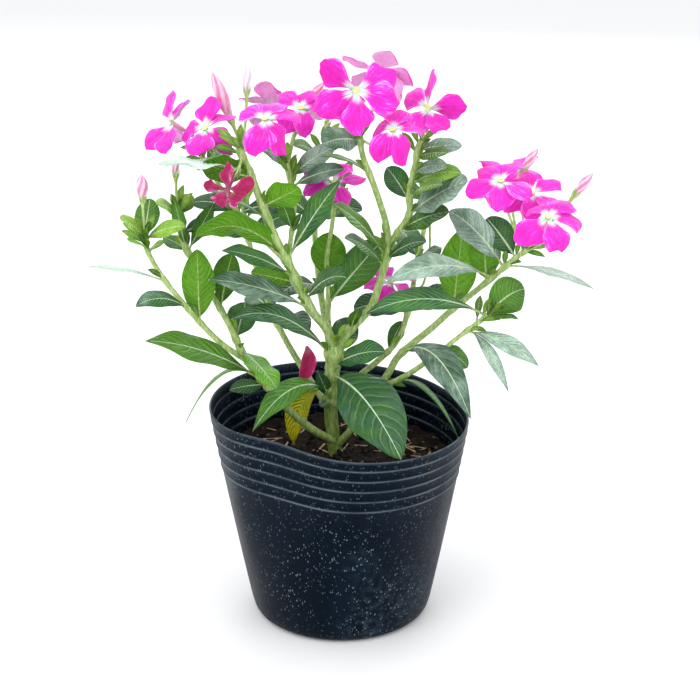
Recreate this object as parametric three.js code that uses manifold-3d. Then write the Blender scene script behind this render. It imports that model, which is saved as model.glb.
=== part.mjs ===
// A madagascar periwinkle in a soft nursery pot, in millimetres.
// The origin is the middle of the pot's underside, +Z is up, and the plant's front looks along -Y.
import * as THREE from 'three';
import { mergeVertices } from 'three/addons/utils/BufferGeometryUtils.js';
import Module from 'manifold-3d';

const wasm = await Module();
wasm.setup();

// Driving dimensions
const POT_HEIGHT = 121;
const FOOT_RADIUS = 50.5;
const RIM_RADIUS = 75;
const RIM_LEAN = 1.5;
const WALL = 1.2;
const FLOOR = 2;
const RIB_HEIGHT = 0.4;
const RIB_LEVELS = [89.3, 95.8, 102.3, 108.8, 115.3];
const SOIL_LEVEL = 91;
const SOIL_EDGE = 89;
const WALL_ROWS = [9, 46, 70, SOIL_EDGE];
const GAP = 0.3;
const POT_SIDES = 28;
const BLADE_THICKNESS = 0.7;
const PETIOLE_HALF_WIDTH = 0.8;
const LEAF_FOLD = 0.22;
const LEAF_WAVE = 0.12;
const STALK_FROM = 0.97;
const STALK_REACH = 0.45;
const KNEE = 8;
const PETAL_ROOT = 1.5;
const PETAL_SINK = 0.9;
const PETAL_TILT = 9;
const STALK_RADII = [0.8, 0.9, 1.4];
const FLOWER_TUBE_RADII = [0.9, 1.5, 2.6];

// Colours and finishes
const LOOKS = {
  pot: { color: 0x10151b, roughness: 0.5, metalness: 0 },
  soil: { color: 0x2c211b, roughness: 1, metalness: 0 },
  leafy: { color: 0x3f7a35, roughness: 0.45, metalness: 0 },
  bloom: { color: 0xe51fb0, roughness: 0.6, metalness: 0 },
  bud: { color: 0xd58ab4, roughness: 0.6, metalness: 0 },
  whiteBud: { color: 0xdcd3da, roughness: 0.6, metalness: 0 },
  wilted: { color: 0xb01c63, roughness: 0.7, metalness: 0 },
  yellow: { color: 0xb9ab22, roughness: 0.6, metalness: 0 },
};

// Ways that the upper side of a leaf can face
const UP = [0, 0, 1];
const FRONT = [0, -1, 0.2];
const BACK = [0, 1, 0.3];
const UP_FRONT = [0, -0.6, 0.8];
const FRONT_UP = [0, -0.85, 0.5];
const UP_BACK = [0, 0.7, 0.7];
const RIGHT_FRONT = [0.7, -0.6, 0.3];

const vec = (a) => new THREE.Vector3(...a);
const degrees = THREE.MathUtils.degToRad;

// A closed mesh from rings of points: each ring has the same count, and both ends are capped flat.
function solidFromRings(rings) {
  const sides = rings[0].length;
  const points = rings.flat().flatMap((p) => [p.x, p.y, p.z]);
  const faces = [];
  const last = (rings.length - 1) * sides;
  for (let below = 0; below < last; below += sides) {
    const above = below + sides;
    for (let s = 0; s < sides; s += 1) {
      const next = (s + 1) % sides;
      faces.push(below + s, below + next, above + next);
      faces.push(below + s, above + next, above + s);
    }
  }
  for (let s = 1; s < sides - 1; s += 1) {
    faces.push(0, s + 1, s);
    faces.push(last, last + s, last + s + 1);
  }
  return new wasm.Manifold(new wasm.Mesh({
    numProp: 3,
    vertProperties: new Float32Array(points),
    triVerts: new Uint32Array(faces),
  }));
}

function fromGeometry(geometry) {
  geometry.deleteAttribute('normal');
  geometry.deleteAttribute('uv');
  const merged = mergeVertices(geometry, 1e-4);
  return new wasm.Manifold(new wasm.Mesh({
    numProp: 3,
    vertProperties: new Float32Array(merged.attributes.position.array),
    triVerts: new Uint32Array(merged.index.array),
  }));
}

function toMesh(name, solid, look) {
  const { vertProperties, triVerts } = solid.getMesh();
  const geometry = new THREE.BufferGeometry();
  geometry.setAttribute('position', new THREE.BufferAttribute(vertProperties, 3));
  geometry.setIndex(new THREE.BufferAttribute(triVerts, 1));
  geometry.computeVertexNormals();
  const mesh = new THREE.Mesh(geometry, new THREE.MeshStandardMaterial(LOOKS[look]));
  mesh.name = name;
  return mesh;
}

function fuse(solids) {
  return solids.reduce((whole, next) => whole.add(next));
}

// The largest body of a solid: specks that a cut leaves loose are dropped.
function largest(solid) {
  return solid.decompose().sort((a, b) => b.volume() - a.volume())[0];
}

// Pot wall: a cone, squeezed oval at the rim, pushed in at the front left
function potPoint(angle, level, inset) {
  const share = level / POT_HEIGHT;
  const bent = share * share;
  const fromDent = THREE.MathUtils.euclideanModulo(angle + degrees(300), degrees(360)) - degrees(180);
  const oval = 3 * Math.cos(2 * (angle - degrees(113)));
  const dent = 9 * Math.exp(-((fromDent / degrees(24)) ** 2));
  const lean = RIM_LEAN * Math.cos(angle);
  const radius = FOOT_RADIUS + (RIM_RADIUS - FOOT_RADIUS) * share + bent * (oval - dent - lean) - inset;
  const lifted = 2.2 * Math.exp(-((fromDent / degrees(34)) ** 2));
  const rise = bent * (2.4 * Math.cos(angle - degrees(178)) + lifted);
  return new THREE.Vector3(radius * Math.cos(angle), radius * Math.sin(angle), level + rise);
}

function potRing(level, inset) {
  return Array.from({ length: POT_SIDES }, (_, s) => potPoint((s / POT_SIDES) * 2 * Math.PI, level, inset));
}

function flatRing(radius, level) {
  return Array.from({ length: POT_SIDES }, (_, s) => {
    const angle = (s / POT_SIDES) * 2 * Math.PI;
    return new THREE.Vector3(radius * Math.cos(angle), radius * Math.sin(angle), level);
  });
}

function makePot() {
  const halfStep = (RIB_LEVELS[1] - RIB_LEVELS[0]) / 2;
  const rings = [flatRing(FOOT_RADIUS - 6.4, 0), potRing(1, 2.2), potRing(4, 0.4)];
  rings.push(potRing(9, 0), potRing(46, 0));
  for (const level of RIB_LEVELS) {
    rings.push(potRing(level - halfStep, 0), potRing(level, -RIB_HEIGHT));
  }
  rings.push(potRing(RIB_LEVELS.at(-1) + halfStep, 0), potRing(POT_HEIGHT, 0), potRing(POT_HEIGHT, WALL));
  for (const level of RIB_LEVELS.slice(2).reverse()) {
    rings.push(potRing(level + halfStep, WALL), potRing(level, WALL - RIB_HEIGHT));
  }
  for (const level of WALL_ROWS.toReversed()) {
    rings.push(potRing(level, WALL));
  }
  rings.push(potRing(FLOOR, WALL + 2.4));
  const drains = [0, 1, 2, 3, 4].map((k) => {
    const drain = new THREE.CylinderGeometry(3.5, 3.5, 10, 8).rotateX(Math.PI / 2);
    const angle = degrees(20 + 72 * k);
    drain.translate(30 * Math.cos(angle), 30 * Math.sin(angle), 0);
    return fromGeometry(drain);
  });
  return drains.reduce((pot, drain) => pot.subtract(drain), solidFromRings(rings));
}

// Soil: fills the pot and ends in a bumpy top
function soilBump(x, y) {
  const mound = 3.5 * Math.exp(-(x * x + y * y) / 900);
  const lumps = Math.sin(0.21 * x + 1.3) * Math.cos(0.17 * y - 0.6) + 0.7 * Math.sin(0.33 * x - 0.29 * y);
  return SOIL_LEVEL + mound + 1.3 * lumps;
}

function makeSoil(hole) {
  const side = WALL + 2 * GAP;
  const rings = [potRing(FLOOR + GAP, side + 2.4), ...WALL_ROWS.map((level) => potRing(level, side))];
  for (const inset of [8, 22, 38, 54]) {
    rings.push(potRing(SOIL_EDGE, inset).map((p) => new THREE.Vector3(p.x, p.y, soilBump(p.x, p.y))));
  }
  return solidFromRings(rings).subtract(hole);
}

// A round stem that tapers from one radius to another along a smooth curve through the points
function stemCurve(points) {
  return new THREE.CatmullRomCurve3(points.map(vec), false, 'catmullrom', 0.5);
}

function taperedTube(curve, radii, sides, steps) {
  const frames = curve.computeFrenetFrames(steps, false);
  const rings = [];
  for (let k = 0; k <= steps; k += 1) {
    const centre = curve.getPointAt(k / steps);
    const place = (k / steps) * (radii.length - 1);
    const low = Math.min(Math.floor(place), radii.length - 2);
    const radius = radii[low] + (radii[low + 1] - radii[low]) * (place - low);
    rings.push(Array.from({ length: sides }, (_, s) => {
      const angle = (s / sides) * 2 * Math.PI;
      return centre.clone()
        .addScaledVector(frames.normals[k], radius * Math.cos(angle))
        .addScaledVector(frames.binormals[k], radius * Math.sin(angle));
    }));
  }
  return solidFromRings(rings);
}

// A leaf or petal: a thin folded and waved blade along an arched midrib.
// bow is how far the middle of the midrib stands off its chord, and face is where the upper side looks.
// A blade with no fold has one flat strip of faces on each side, and a folded one has two.
function blade({ base, tip, bow, face, halfWidth, rows, fold = 0, wave = 0, phase = 0 }) {
  const control = base.clone().add(tip).multiplyScalar(0.5).addScaledVector(bow, 2);
  const midrib = new THREE.QuadraticBezierCurve3(base, control, tip);
  const rings = rows.map((u) => {
    const middle = midrib.getPoint(u);
    const along = midrib.getTangent(u);
    const normal = face.clone().addScaledVector(along, -face.dot(along)).normalize();
    const across = along.clone().cross(normal);
    const half = halfWidth(u);
    const edge = (side) => middle.clone()
      .addScaledVector(across, side * half)
      .addScaledVector(normal, fold * half + wave * half * Math.sin(15 * u + phase + side));
    const skin = normal.clone().multiplyScalar(BLADE_THICKNESS / 2);
    const line = fold ? [edge(-1), middle, edge(1)] : [edge(-1), edge(1)];
    const upper = line.map((p) => p.clone().add(skin));
    const lower = line.map((p) => p.clone().sub(skin));
    return [...upper, ...lower.reverse()];
  });
  const solid = solidFromRings(rings);
  return solid.volume() > 0 ? solid : solidFromRings(rings.map((ring) => ring.reverse()));
}

// Half the width of a leaf along its length: a slender leaf comes to a longer point than a broad one.
function leafHalfWidth(width, length) {
  const taper = THREE.MathUtils.clamp((0.3 * length) / width, 0.6, 1.1);
  return (u) => {
    const share = Math.max(0, (u - 0.1) / 0.9);
    const oval = Math.sin(Math.PI * share ** 1.1) ** taper;
    return Math.max(PETIOLE_HALF_WIDTH, (width / 2) * oval);
  };
}

// Where a leaf's rows of points lie along it, for a small, a middling and a large one
const LEAF_ROWS = [[0, 0.4, 0.75, 1], [0, 0.13, 0.45, 0.82, 1], [0, 0.13, 0.35, 0.6, 0.87, 1]];

function leaf(base, [, end, width, lift, face]) {
  const big = width > 13;
  const tip = vec(end);
  return blade({
    base,
    tip,
    bow: new THREE.Vector3(0, 0, lift),
    face: vec(face).normalize(),
    halfWidth: leafHalfWidth(width, base.distanceTo(tip)),
    rows: LEAF_ROWS[big ? Number(width > 16) + 1 : 0],
    fold: big ? LEAF_FOLD : 0,
    wave: big ? LEAF_WAVE : 0,
    phase: tip.x,
  });
}

// Stems: the points that each runs through, its radii, and its leaves as
// [place along the stem in points, tip, width, lift of the midrib, where the upper side faces]
const STEMS = {
  trunk: {
    node: 'main_stem',
    points: [[-2, 0, 80], [-3, 0, 92], [-5, 1, 108], [-6, 2, 126], [-5, 1, 143], [-3, 0, 160]],
    radii: [4, 3.8, 3.6],
    leaves: [
      [3.3, [-48, -35, 122], 15, 13, UP_FRONT],
      [3.9, [32, -66, 119], 32, 9, FRONT_UP],
      [4.2, [24, -16, 161], 16, 3, UP_FRONT],
      [4.7, [6, 26, 166], 16, 0, FRONT],
      [3.0, [-13, -8, 147], 8, 0, FRONT],
      [2.9, [-11, -12, 127], 7, 1, UP_FRONT],
      [4.5, [-57, -48, 191], 16, 12, UP_FRONT],
    ],
  },
  tall_left: {
    node: 'main_stem',
    points: [[-3, 0, 154], [-8, -3, 170], [-17, -8, 184], [-28, -15, 211], [-36, -18, 230], [-44, -20, 253],
      [-48, -21, 265], [-53, -22, 276]],
    radii: [2.6, 2.2, 1.7],
    leaves: [
      [2.0, [-68, -52, 214], 18, 3, UP_FRONT],
      [2.7, [-61, -50, 229], 14, 3, UP_FRONT],
      [3.2, [-76, -24, 229], 24, 11, UP_BACK],
      [3.1, [0, -30, 261], 16, 2, UP_FRONT],
      [4.3, [-70, -26, 255], 13, 2, UP],
      [4.6, [-21, -34, 258], 17, 0, BACK],
      [5.9, [-92, -46, 273], 24, 2, UP],
      [5.6, [-71, -32, 271], 17, -1, BACK],
      [2.6, [-49, -4, 203], 13, 0, BACK],
      [2.2, [3, -30, 208], 16, 5, UP_FRONT],
    ],
  },
  tall_right: {
    node: 'main_stem',
    points: [[-3, 0, 154], [4, 3, 166], [16, 8, 178], [21, 10, 191], [24, 10, 202], [26, 10, 213]],
    radii: [2.4, 2.1, 1.9],
    leaves: [
      [1.1, [10, -6, 183], 8, 1, UP],
      [4.3, [46, -10, 222], 13, 3, UP_FRONT],
      [4.5, [-5, -24, 247], 14, 4, UP_FRONT],
      [4.0, [2, -16, 226], 13, 3, UP_FRONT],
    ],
  },
  top_centre: {
    node: 'top_centre_shoot',
    clearOf: ['tall_right'],
    points: [[26, 10, 211], [25, 6, 226], [19, -3, 248], [12, -8, 268], [10, -10, 280]],
    radii: [1.9, 1.4],
    leaves: [
      [3.7, [-9, -26, 279], 18, 2, UP_FRONT],
      [2.5, [-10, -6, 268], 9, 3, UP],
    ],
  },
  right_shoot: {
    node: 'right_shoot',
    clearOf: ['tall_right', 'top_centre'],
    points: [[26, 10, 211], [30, 9, 220], [37, 5, 233], [37, 3, 246], [39, 2, 257], [43, 2, 275]],
    radii: [1.9, 1.4],
    leaves: [
      [1.2, [58, -8, 238], 16, 2, UP_FRONT],
      [2.0, [67, -16, 257], 22, 2, UP_FRONT],
      [3.4, [64, -8, 259], 13, 3, UP_FRONT],
      [2.8, [53, -24, 257], 12, 2, UP_FRONT],
      [2.6, [25, 10, 258], 13, 1, FRONT],
      [4.0, [56, -10, 263], 11, 2, UP_FRONT],
      [4.5, [56, -16, 272], 12, 1, UP_FRONT],
      [4.7, [65, 6, 271], 11, 1, UP_FRONT],
    ],
  },
  centre: {
    node: 'centre_shoot',
    clearOf: ['trunk'],
    points: [[-3, 0, 152], [-7, 8, 170], [-7, 14, 189], [-8, 18, 203], [-5, 22, 222], [-4, 24, 232]],
    radii: [1.6, 1.1],
    leaves: [
      [2.2, [-7, 22, 218], 20, 0, BACK],
      [1.5, [24, 24, 214], 20, 1, FRONT],
      [5.0, [-21, 18, 259], 13, 3, UP_FRONT],
      [5.0, [6, 34, 256], 10, 3, UP],
    ],
  },
  centre_left: {
    node: 'centre_left_shoot',
    clearOf: ['tall_left'],
    points: [[-28, -15, 212], [-27, -8, 222], [-26, -4, 230], [-25, 1, 242], [-29, 4, 262]],
    radii: [1.4, 1],
    leaves: [
      [1.5, [-15, -14, 236], 8, 1, UP],
      [1.7, [-31, -14, 245], 9, 1, FRONT],
      [3.6, [-3, 6, 270], 13, 2, UP_FRONT],
      [3.4, [2, -14, 263], 13, 2, UP_FRONT],
      [3.9, [-42, -8, 272], 11, 2, UP_FRONT],
    ],
  },
  low_left: {
    node: 'low_left_shoot',
    clearOf: ['trunk'],
    points: [[-4, -1, 102], [-16, -8, 112], [-28, -13, 125], [-38, -17, 139], [-51, -26, 160],
      [-60, -24, 180], [-70, -20, 197], [-84, -15, 223], [-87, -14, 241]],
    radii: [2.4, 2, 1.1],
    leaves: [
      [3.4, [-99, -76, 189], 20, 5, UP_FRONT],
      [4.3, [-34, -50, 153], 18, 2, RIGHT_FRONT],
      [5.5, [-59, -2, 213], 15, 2, BACK],
      [7.8, [-96, -26, 247], 10, 2, UP_FRONT],
      [7.8, [-79, -8, 247], 10, 1, UP_FRONT],
      [6.9, [-87, -26, 251], 7, 0, FRONT],
      [6.8, [-68, -4, 242], 9, 0, FRONT],
      [6.8, [-96, -2, 222], 9, 1, UP_FRONT],
      [7.2, [-65, 4, 229], 11, 2, UP_FRONT],
      [3.2, [-60, -32, 145], 10, 1, UP_FRONT],
      [4.6, [-52, -8, 187], 16, 0, FRONT],
      [3.1, [-86, -18, 120], 6, 20, UP],
    ],
  },
  far_left: {
    node: 'far_left_shoot',
    clearOf: ['low_left'],
    points: [[-51, -26, 160], [-64, -32, 172], [-76, -36, 187], [-91, -37, 207], [-100, -33, 221],
      [-103, -30, 230]],
    radii: [1.7, 1.1],
    leaves: [
      [3.1, [-130, -56, 222], 9, 2, UP],
      [2.3, [-105, -60, 202], 12, 5, UP_FRONT],
      [1.9, [-76, -24, 222], 18, -2, BACK],
      [4.9, [-113, -44, 244], 11, 2, UP_FRONT],
      [4.9, [-80, -40, 239], 11, 2, UP_FRONT],
      [4.4, [-108, -50, 234], 10, 1, UP_FRONT],
      [4.2, [-92, -46, 231], 9, 1, UP_FRONT],
      [5.0, [-101, -14, 247], 13, 0, FRONT],
    ],
  },
  low_right: {
    node: 'low_right_shoot',
    clearOf: ['trunk'],
    points: [[-3, 0, 98], [8, -8, 115], [16, -9, 130], [26, -5, 144], [33, 0, 154], [51, 8, 167],
      [62, 7, 178], [80, 3, 195], [94, -3, 210], [101, -7, 217]],
    radii: [2.2, 1.9, 1.3],
    leaves: [
      [4.1, [70, -42, 132], 18, 16, UP_FRONT],
      [6.0, [68, 32, 217], 22, -3, BACK],
      [7.0, [79, 18, 219], 18, 0, BACK],
      [7.2, [24, -36, 207], 16, 8, UP_FRONT],
      [7.7, [134, -30, 202], 11, 3, UP],
      [7.6, [59, 8, 234], 19, 4, UP_FRONT],
      [8.1, [80, 12, 229], 16, 1, FRONT],
    ],
  },
  low_right_outer: {
    node: 'low_right_outer_shoot',
    clearOf: ['low_right'],
    points: [[22, -8, 137], [36, -12, 146], [50, -14, 157], [67, -13, 171], [80, -10, 180]],
    radii: [1.7, 1.1],
    leaves: [
      [0.3, [65, -20, 112], 6, 14, UP],
      [2.2, [70, -10, 150], 13, 3, UP_FRONT],
      [3.2, [90, -40, 147], 7, 5, UP_FRONT],
      [3.1, [106, -38, 161], 11, 4, UP_FRONT],
      [4.0, [13, -40, 191], 16, 9, UP_FRONT],
      [4.0, [100, -6, 194], 21, 3, FRONT_UP],
      [4.0, [96, -28, 191], 9, 1, UP],
      [4.0, [94, -36, 187], 8, 1, UP],
    ],
  },
  low_back_right: {
    node: 'low_back_right_shoot',
    clearOf: ['trunk'],
    points: [[-5, 2, 126], [6, 12, 133], [22, 22, 143], [32, 26, 153], [38, 32, 168], [43, 44, 190],
      [48, 54, 214], [50, 58, 234]],
    radii: [1.9, 1.3],
    leaves: [
      [2.4, [35, 30, 163], 9, 1, FRONT],
    ],
    pairs: { places: [4, 5.2, 6.6], start: 20, length: 33, width: 17 },
  },
  left_back: {
    node: 'left_back_shoot',
    clearOf: ['tall_left'],
    points: [[-29, -14, 212], [-40, -2, 219], [-52, 12, 226], [-62, 18, 238], [-70, 18, 252],
      [-76, 14, 264]],
    radii: [1.6, 1.1],
    leaves: [],
    pairs: { places: [2.4, 4], start: 165, length: 28, width: 12 },
  },
  back_tall: {
    node: 'back_tall_shoot',
    clearOf: ['trunk'],
    points: [[-5, 1, 138], [-7, 15, 156], [-12, 32, 182], [-15, 44, 212], [-13, 49, 240], [-9, 50, 262]],
    radii: [2.1, 1.3],
    leaves: [],
    pairs: { places: [2, 3.2, 4.5], start: 55, length: 40, width: 17 },
  },
  back_left: {
    node: 'back_left_shoot',
    clearOf: ['trunk'],
    points: [[-5, 1, 118], [-17, 14, 132], [-34, 30, 156], [-46, 42, 182], [-53, 48, 206], [-56, 50, 226]],
    radii: [2.1, 1.2],
    leaves: [],
    pairs: { places: [2.2, 4], start: 120, length: 38, width: 16 },
  },
};

// Opposite leaves, each pair a quarter turn from the last, shorter and steeper towards the tip
function pairedLeaves(curve, last, { places, start, length, width }) {
  return places.flatMap((place, k) => [0, 180].map((half) => {
    const angle = degrees(start + 90 * k + half);
    const size = length * (1 - 0.14 * k);
    const base = curve.getPoint(place / last);
    const reach = new THREE.Vector3(Math.cos(angle), Math.sin(angle), 0.15 + 0.2 * k).setLength(size);
    return [place, base.add(reach).toArray(), width * (1 - 0.12 * k), 0.12 * size, UP_FRONT];
  }));
}

// Five petals, each as [turn from the top, droop, own twist if any] in degrees: those in front droop more
function around(turn, front, rear) {
  return [0, 72, 144, 216, 288].map((step) => {
    const angle = turn + step;
    return [angle, rear + (front - rear) * (0.5 - 0.5 * Math.cos(degrees(angle)))];
  });
}

// Blooms: the stem that carries each, calyx, eye, the way it faces, radius and petals
const BLOOMS = {
  bloom_top_front: ['top_centre', [10, -14, 294], [8, -28, 308], [0, -0.85, 0.53], 23,
    [[59, -12, 42], [124, 10, 14], [185, 5, 4], [253, 4, -20], [297, 4, -12]]],
  bloom_top_back: ['top_centre', [18, -3, 297], [20, 4, 312], [0.05, 0.5, 0.86], 20,
    [[22, -10], [101, 19], [119, 52], [238, 25], [287, -21]]],
  bloom_top_low: ['top_centre', [22, -18, 276], [27, -30, 288], [0.1, -0.5, 0.86], 19,
    [[41, 48], [142, 45], [203, 39], [288, 17], [340, 8]]],
  bloom_right: ['right_shoot', [45, 8, 281], [46, 0, 293], [0.1, -0.8, 0.6], 20,
    [[41, 34], [147, -19], [201, -30], [264, -9, -62], [351, -7, 68]]],
  bloom_far_left: ['left_back', [-74, 14, 270], [-90, 0, 285], [-0.75, -0.4, 0.5], 20,
    [[44, 29], [48, -5], [118, 56], [160, -14], [222, -8]]],
  bloom_left: ['left_back', [-68, -3, 270], [-71, -13, 285], [-0.2, -0.5, 0.85], 20,
    [[13, -11], [88, 32], [192, -2], [255, 41], [341, 22]]],
  bloom_left_front: ['tall_left', [-42, -28, 282], [-38, -41, 296], [0.05, -0.45, 0.9], 21,
    [[37, 15], [163, 22], [222, 39], [295, 17], [341, 16]]],
  bloom_left_mid: ['centre_left', [-24, 4, 279], [-21, -4, 294], [0.1, -0.5, 0.86], 17,
    [[35, 15], [141, 23], [187, 31], [274, 21], [331, 4]]],
  bloom_centre: ['centre', [-5, 18, 238], [-4, 8, 251], [0.15, -0.35, 0.92], 18,
    [[57, -11, 70], [88, 30], [195, 20], [251, -13], [318, -4]]],
  bloom_low_centre: ['low_back_right', [36, 38, 176], [28, 30, 187], [0, -0.25, 0.97], 16,
    [[20, 1], [92, 13], [164, 25], [236, 19], [308, 5]]],
  bloom_right_top: ['low_right', [97, 26, 242], [96, 32, 252], [0, 0.1, 1], 19,
    [[80, 20], [143, -18], [263, -19], [268, 17], [357, 23]]],
  bloom_right_left: ['low_right', [87, -14, 245], [84, -22, 259], [-0.1, -0.4, 0.9], 20,
    [[46, 9], [122, 6], [186, 7], [242, 5], [349, 8]]],
  bloom_right_mid: ['low_right', [101, -7, 237], [101, -16, 251], [0.1, -0.45, 0.88], 18,
    [[2, 3], [114, 17], [172, 18], [215, -10], [296, 1]]],
  bloom_right_front: ['low_right', [108, -32, 232], [106, -50, 247], [0.05, -0.6, 0.79], 21,
    [[16, 41], [129, 18], [195, 8], [277, 25], [319, 16]]],
  bloom_wilted: ['tall_left', [-53, -33, 267], [-58, -42, 259], [-0.1, -0.9, -0.1], 12, around(0, 10, 10)],
  bloom_rear_tall: ['back_tall', [-8, 52, 272], [-6, 62, 286], [0, 0.6, 0.8], 21, around(0, 15, 15)],
  bloom_rear_left: ['centre_left', [-36, 13, 278], [-39, 26, 289], [-0.05, 0.55, 0.83], 19,
    [[45, 3], [142, 11], [207, 12], [309, 2], [356, -24]]],
};

// Furled buds: the stem that carries each, calyx, tip, thickest radius and look
const BUDS = {
  bud_left_tall: ['tall_left', [-58, 8, 283], [-68, 8, 310], 3.6, 'bud'],
  bud_white: ['tall_left', [-49, -8, 302], [-49, -8, 319], 2.6, 'whiteBud'],
  bud_centre_left: ['centre_left', [-19, 20, 288], [-9, 18, 303], 3, 'bud'],
  bud_far_left: ['far_left', [-103, -30, 250], [-103, -30, 264], 3.2, 'bud'],
  bud_left_small: ['low_left', [-87, -14, 259], [-87, -14, 270], 2, 'bud'],
  bud_right_up: ['low_right', [98, 9, 256], [106, 7, 269], 2.6, 'bud'],
  bud_right_out: ['low_right', [124, -12, 248], [133, -14, 261], 2.6, 'bud'],
};

const curves = {};
for (const [name, { points }] of Object.entries(STEMS)) {
  curves[name] = stemCurve(points);
}

function petalHalfWidth(radius) {
  return (u) => radius * (0.045 + 0.34 * Math.sin(Math.PI * 0.8 * u ** 1.5));
}

// Where a bloom's tube bends on its way from the calyx to the eye
function kneeOf(centre, axis) {
  return centre.clone().addScaledVector(axis, -KNEE);
}

function makeBloom([, calyx, eye, facing, radius, petals]) {
  const axis = vec(facing).normalize();
  const from = vec(calyx);
  const centre = vec(eye);
  const knee = kneeOf(centre, axis);
  const start = from.clone().addScaledVector(knee.clone().sub(from).normalize(), 1.5 * GAP);
  const neck = new THREE.QuadraticBezierCurve3(start, knee, centre);
  const tube = taperedTube(neck, FLOWER_TUBE_RADII, 5, 2);
  const upward = new THREE.Vector3(0, 0, 1).addScaledVector(axis, -axis.z).normalize();
  const blades = petals.map(([angle, droop, twist = 0]) => {
    const tilt = degrees(PETAL_TILT + twist);
    const way = upward.clone().applyAxisAngle(axis, degrees(angle));
    const side = axis.clone().cross(way);
    const tip = centre.clone()
      .addScaledVector(way, radius * Math.cos(degrees(droop)))
      .addScaledVector(axis, -radius * Math.sin(degrees(droop)));
    return blade({
      base: centre.clone().addScaledVector(way, PETAL_ROOT).addScaledVector(axis, -PETAL_SINK),
      tip,
      bow: axis.clone().multiplyScalar(1.2 + 0.06 * droop),
      face: axis.clone().multiplyScalar(Math.cos(tilt)).addScaledVector(side, Math.sin(tilt)),
      halfWidth: petalHalfWidth(radius),
      rows: [0, 0.4, 0.8, 1],
    });
  });
  return fuse([tube, ...blades]);
}

// A flower stalk from its stem to the calyx, which widens into a small cup and points at what it holds
function stalk(stemName, calyx, target) {
  const curve = curves[stemName];
  const end = vec(calyx);
  const start = curve.getPoint(STALK_FROM);
  const way = target.clone().sub(end).normalize();
  const middle = end.clone().addScaledVector(way, -STALK_REACH * start.distanceTo(end));
  const path = new THREE.QuadraticBezierCurve3(start, middle, end);
  return taperedTube(path, STALK_RADII, 5, 2);
}

function makeBud([, calyx, tip, thickest]) {
  const from = vec(calyx);
  const to = vec(tip);
  const start = from.clone().addScaledVector(to.clone().sub(from).normalize(), GAP);
  const radii = [1.1, 0.7 * thickest, thickest, 0.8 * thickest, 0.5];
  return taperedTube(new THREE.LineCurve3(start, to), radii, 6, 4);
}

function stemSides(name) {
  return name === 'trunk' ? 8 : 6;
}

// A stem with the space round it that a neighbour keeps clear of
function clearance(name) {
  const { points, radii } = STEMS[name];
  const wide = radii.map((r) => r + 2 * GAP);
  return taperedTube(curves[name], wide, stemSides(name), points.length);
}

// A yellowed leaf that hangs from the trunk, and a dry petal caught between the stems
function makeLooseBlades() {
  return {
    yellow_leaf: blade({
      base: new THREE.Vector3(-9.4, 1, 134),
      tip: new THREE.Vector3(-27, 0, 100),
      bow: new THREE.Vector3(-5, 0, 5),
      face: new THREE.Vector3(-0.3, -1, 0.3).normalize(),
      halfWidth: leafHalfWidth(13, 38),
      rows: LEAF_ROWS[2],
      fold: 0.3,
    }),
    dry_petal: blade({
      base: new THREE.Vector3(-19, -3, 160),
      tip: new THREE.Vector3(-22, -5, 141),
      bow: new THREE.Vector3(2, 0, 0),
      face: new THREE.Vector3(0.3, -1, 0).normalize(),
      halfWidth: (u) => 1 + 4 * Math.sin(Math.PI * 0.9 * u),
      rows: LEAF_ROWS[1],
      fold: 0.5,
    }),
  };
}

// Each leafy stem is one solid, cut clear of the stem that carries it and of those beside it
function makeShoots() {
  const nodes = {};
  for (const [name, stem] of Object.entries(STEMS)) {
    const curve = curves[name];
    const last = stem.points.length - 1;
    const leaves = stem.leaves.concat(stem.pairs ? pairedLeaves(curve, last, stem.pairs) : []);
    const solids = [taperedTube(curve, stem.radii, stemSides(name), last + 1)];
    for (const entry of leaves) {
      solids.push(leaf(curve.getPoint(entry[0] / last), entry));
    }
    for (const [carrier, calyx, eye, facing] of Object.values(BLOOMS)) {
      if (carrier === name) solids.push(stalk(name, calyx, kneeOf(vec(eye), vec(facing).normalize())));
    }
    for (const [carrier, calyx, tip] of Object.values(BUDS)) {
      if (carrier === name) solids.push(stalk(name, calyx, vec(tip)));
    }
    let solid = fuse(solids);
    for (const neighbour of stem.clearOf ?? []) {
      solid = largest(solid.subtract(clearance(neighbour)));
    }
    nodes[stem.node] = nodes[stem.node] ? nodes[stem.node].add(solid) : solid;
  }
  return nodes;
}

const plant = new THREE.Group();
plant.name = 'potted_madagascar_periwinkle';

const holePoints = [[-2, 0, 79.6], ...STEMS.trunk.points.slice(1)];
const hole = taperedTube(stemCurve(holePoints), STEMS.trunk.radii.map((r) => r + 2 * GAP), 8, 10);
plant.add(toMesh('pot', makePot(), 'pot'));
plant.add(toMesh('soil', makeSoil(hole), 'soil'));
for (const [node, solid] of Object.entries(makeShoots())) {
  plant.add(toMesh(node, solid, 'leafy'));
}
for (const [name, bloom] of Object.entries(BLOOMS)) {
  plant.add(toMesh(name, makeBloom(bloom), 'bloom'));
}
for (const [name, solid] of Object.entries(makeLooseBlades())) {
  plant.add(toMesh(name, solid, name === 'yellow_leaf' ? 'yellow' : 'wilted'));
}
for (const [name, bud] of Object.entries(BUDS)) {
  plant.add(toMesh(name, makeBud(bud), bud[4]));
}

export default plant;
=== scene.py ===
import math
import random

import bpy
import numpy as np
from mathutils import Matrix, Vector, noise


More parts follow.
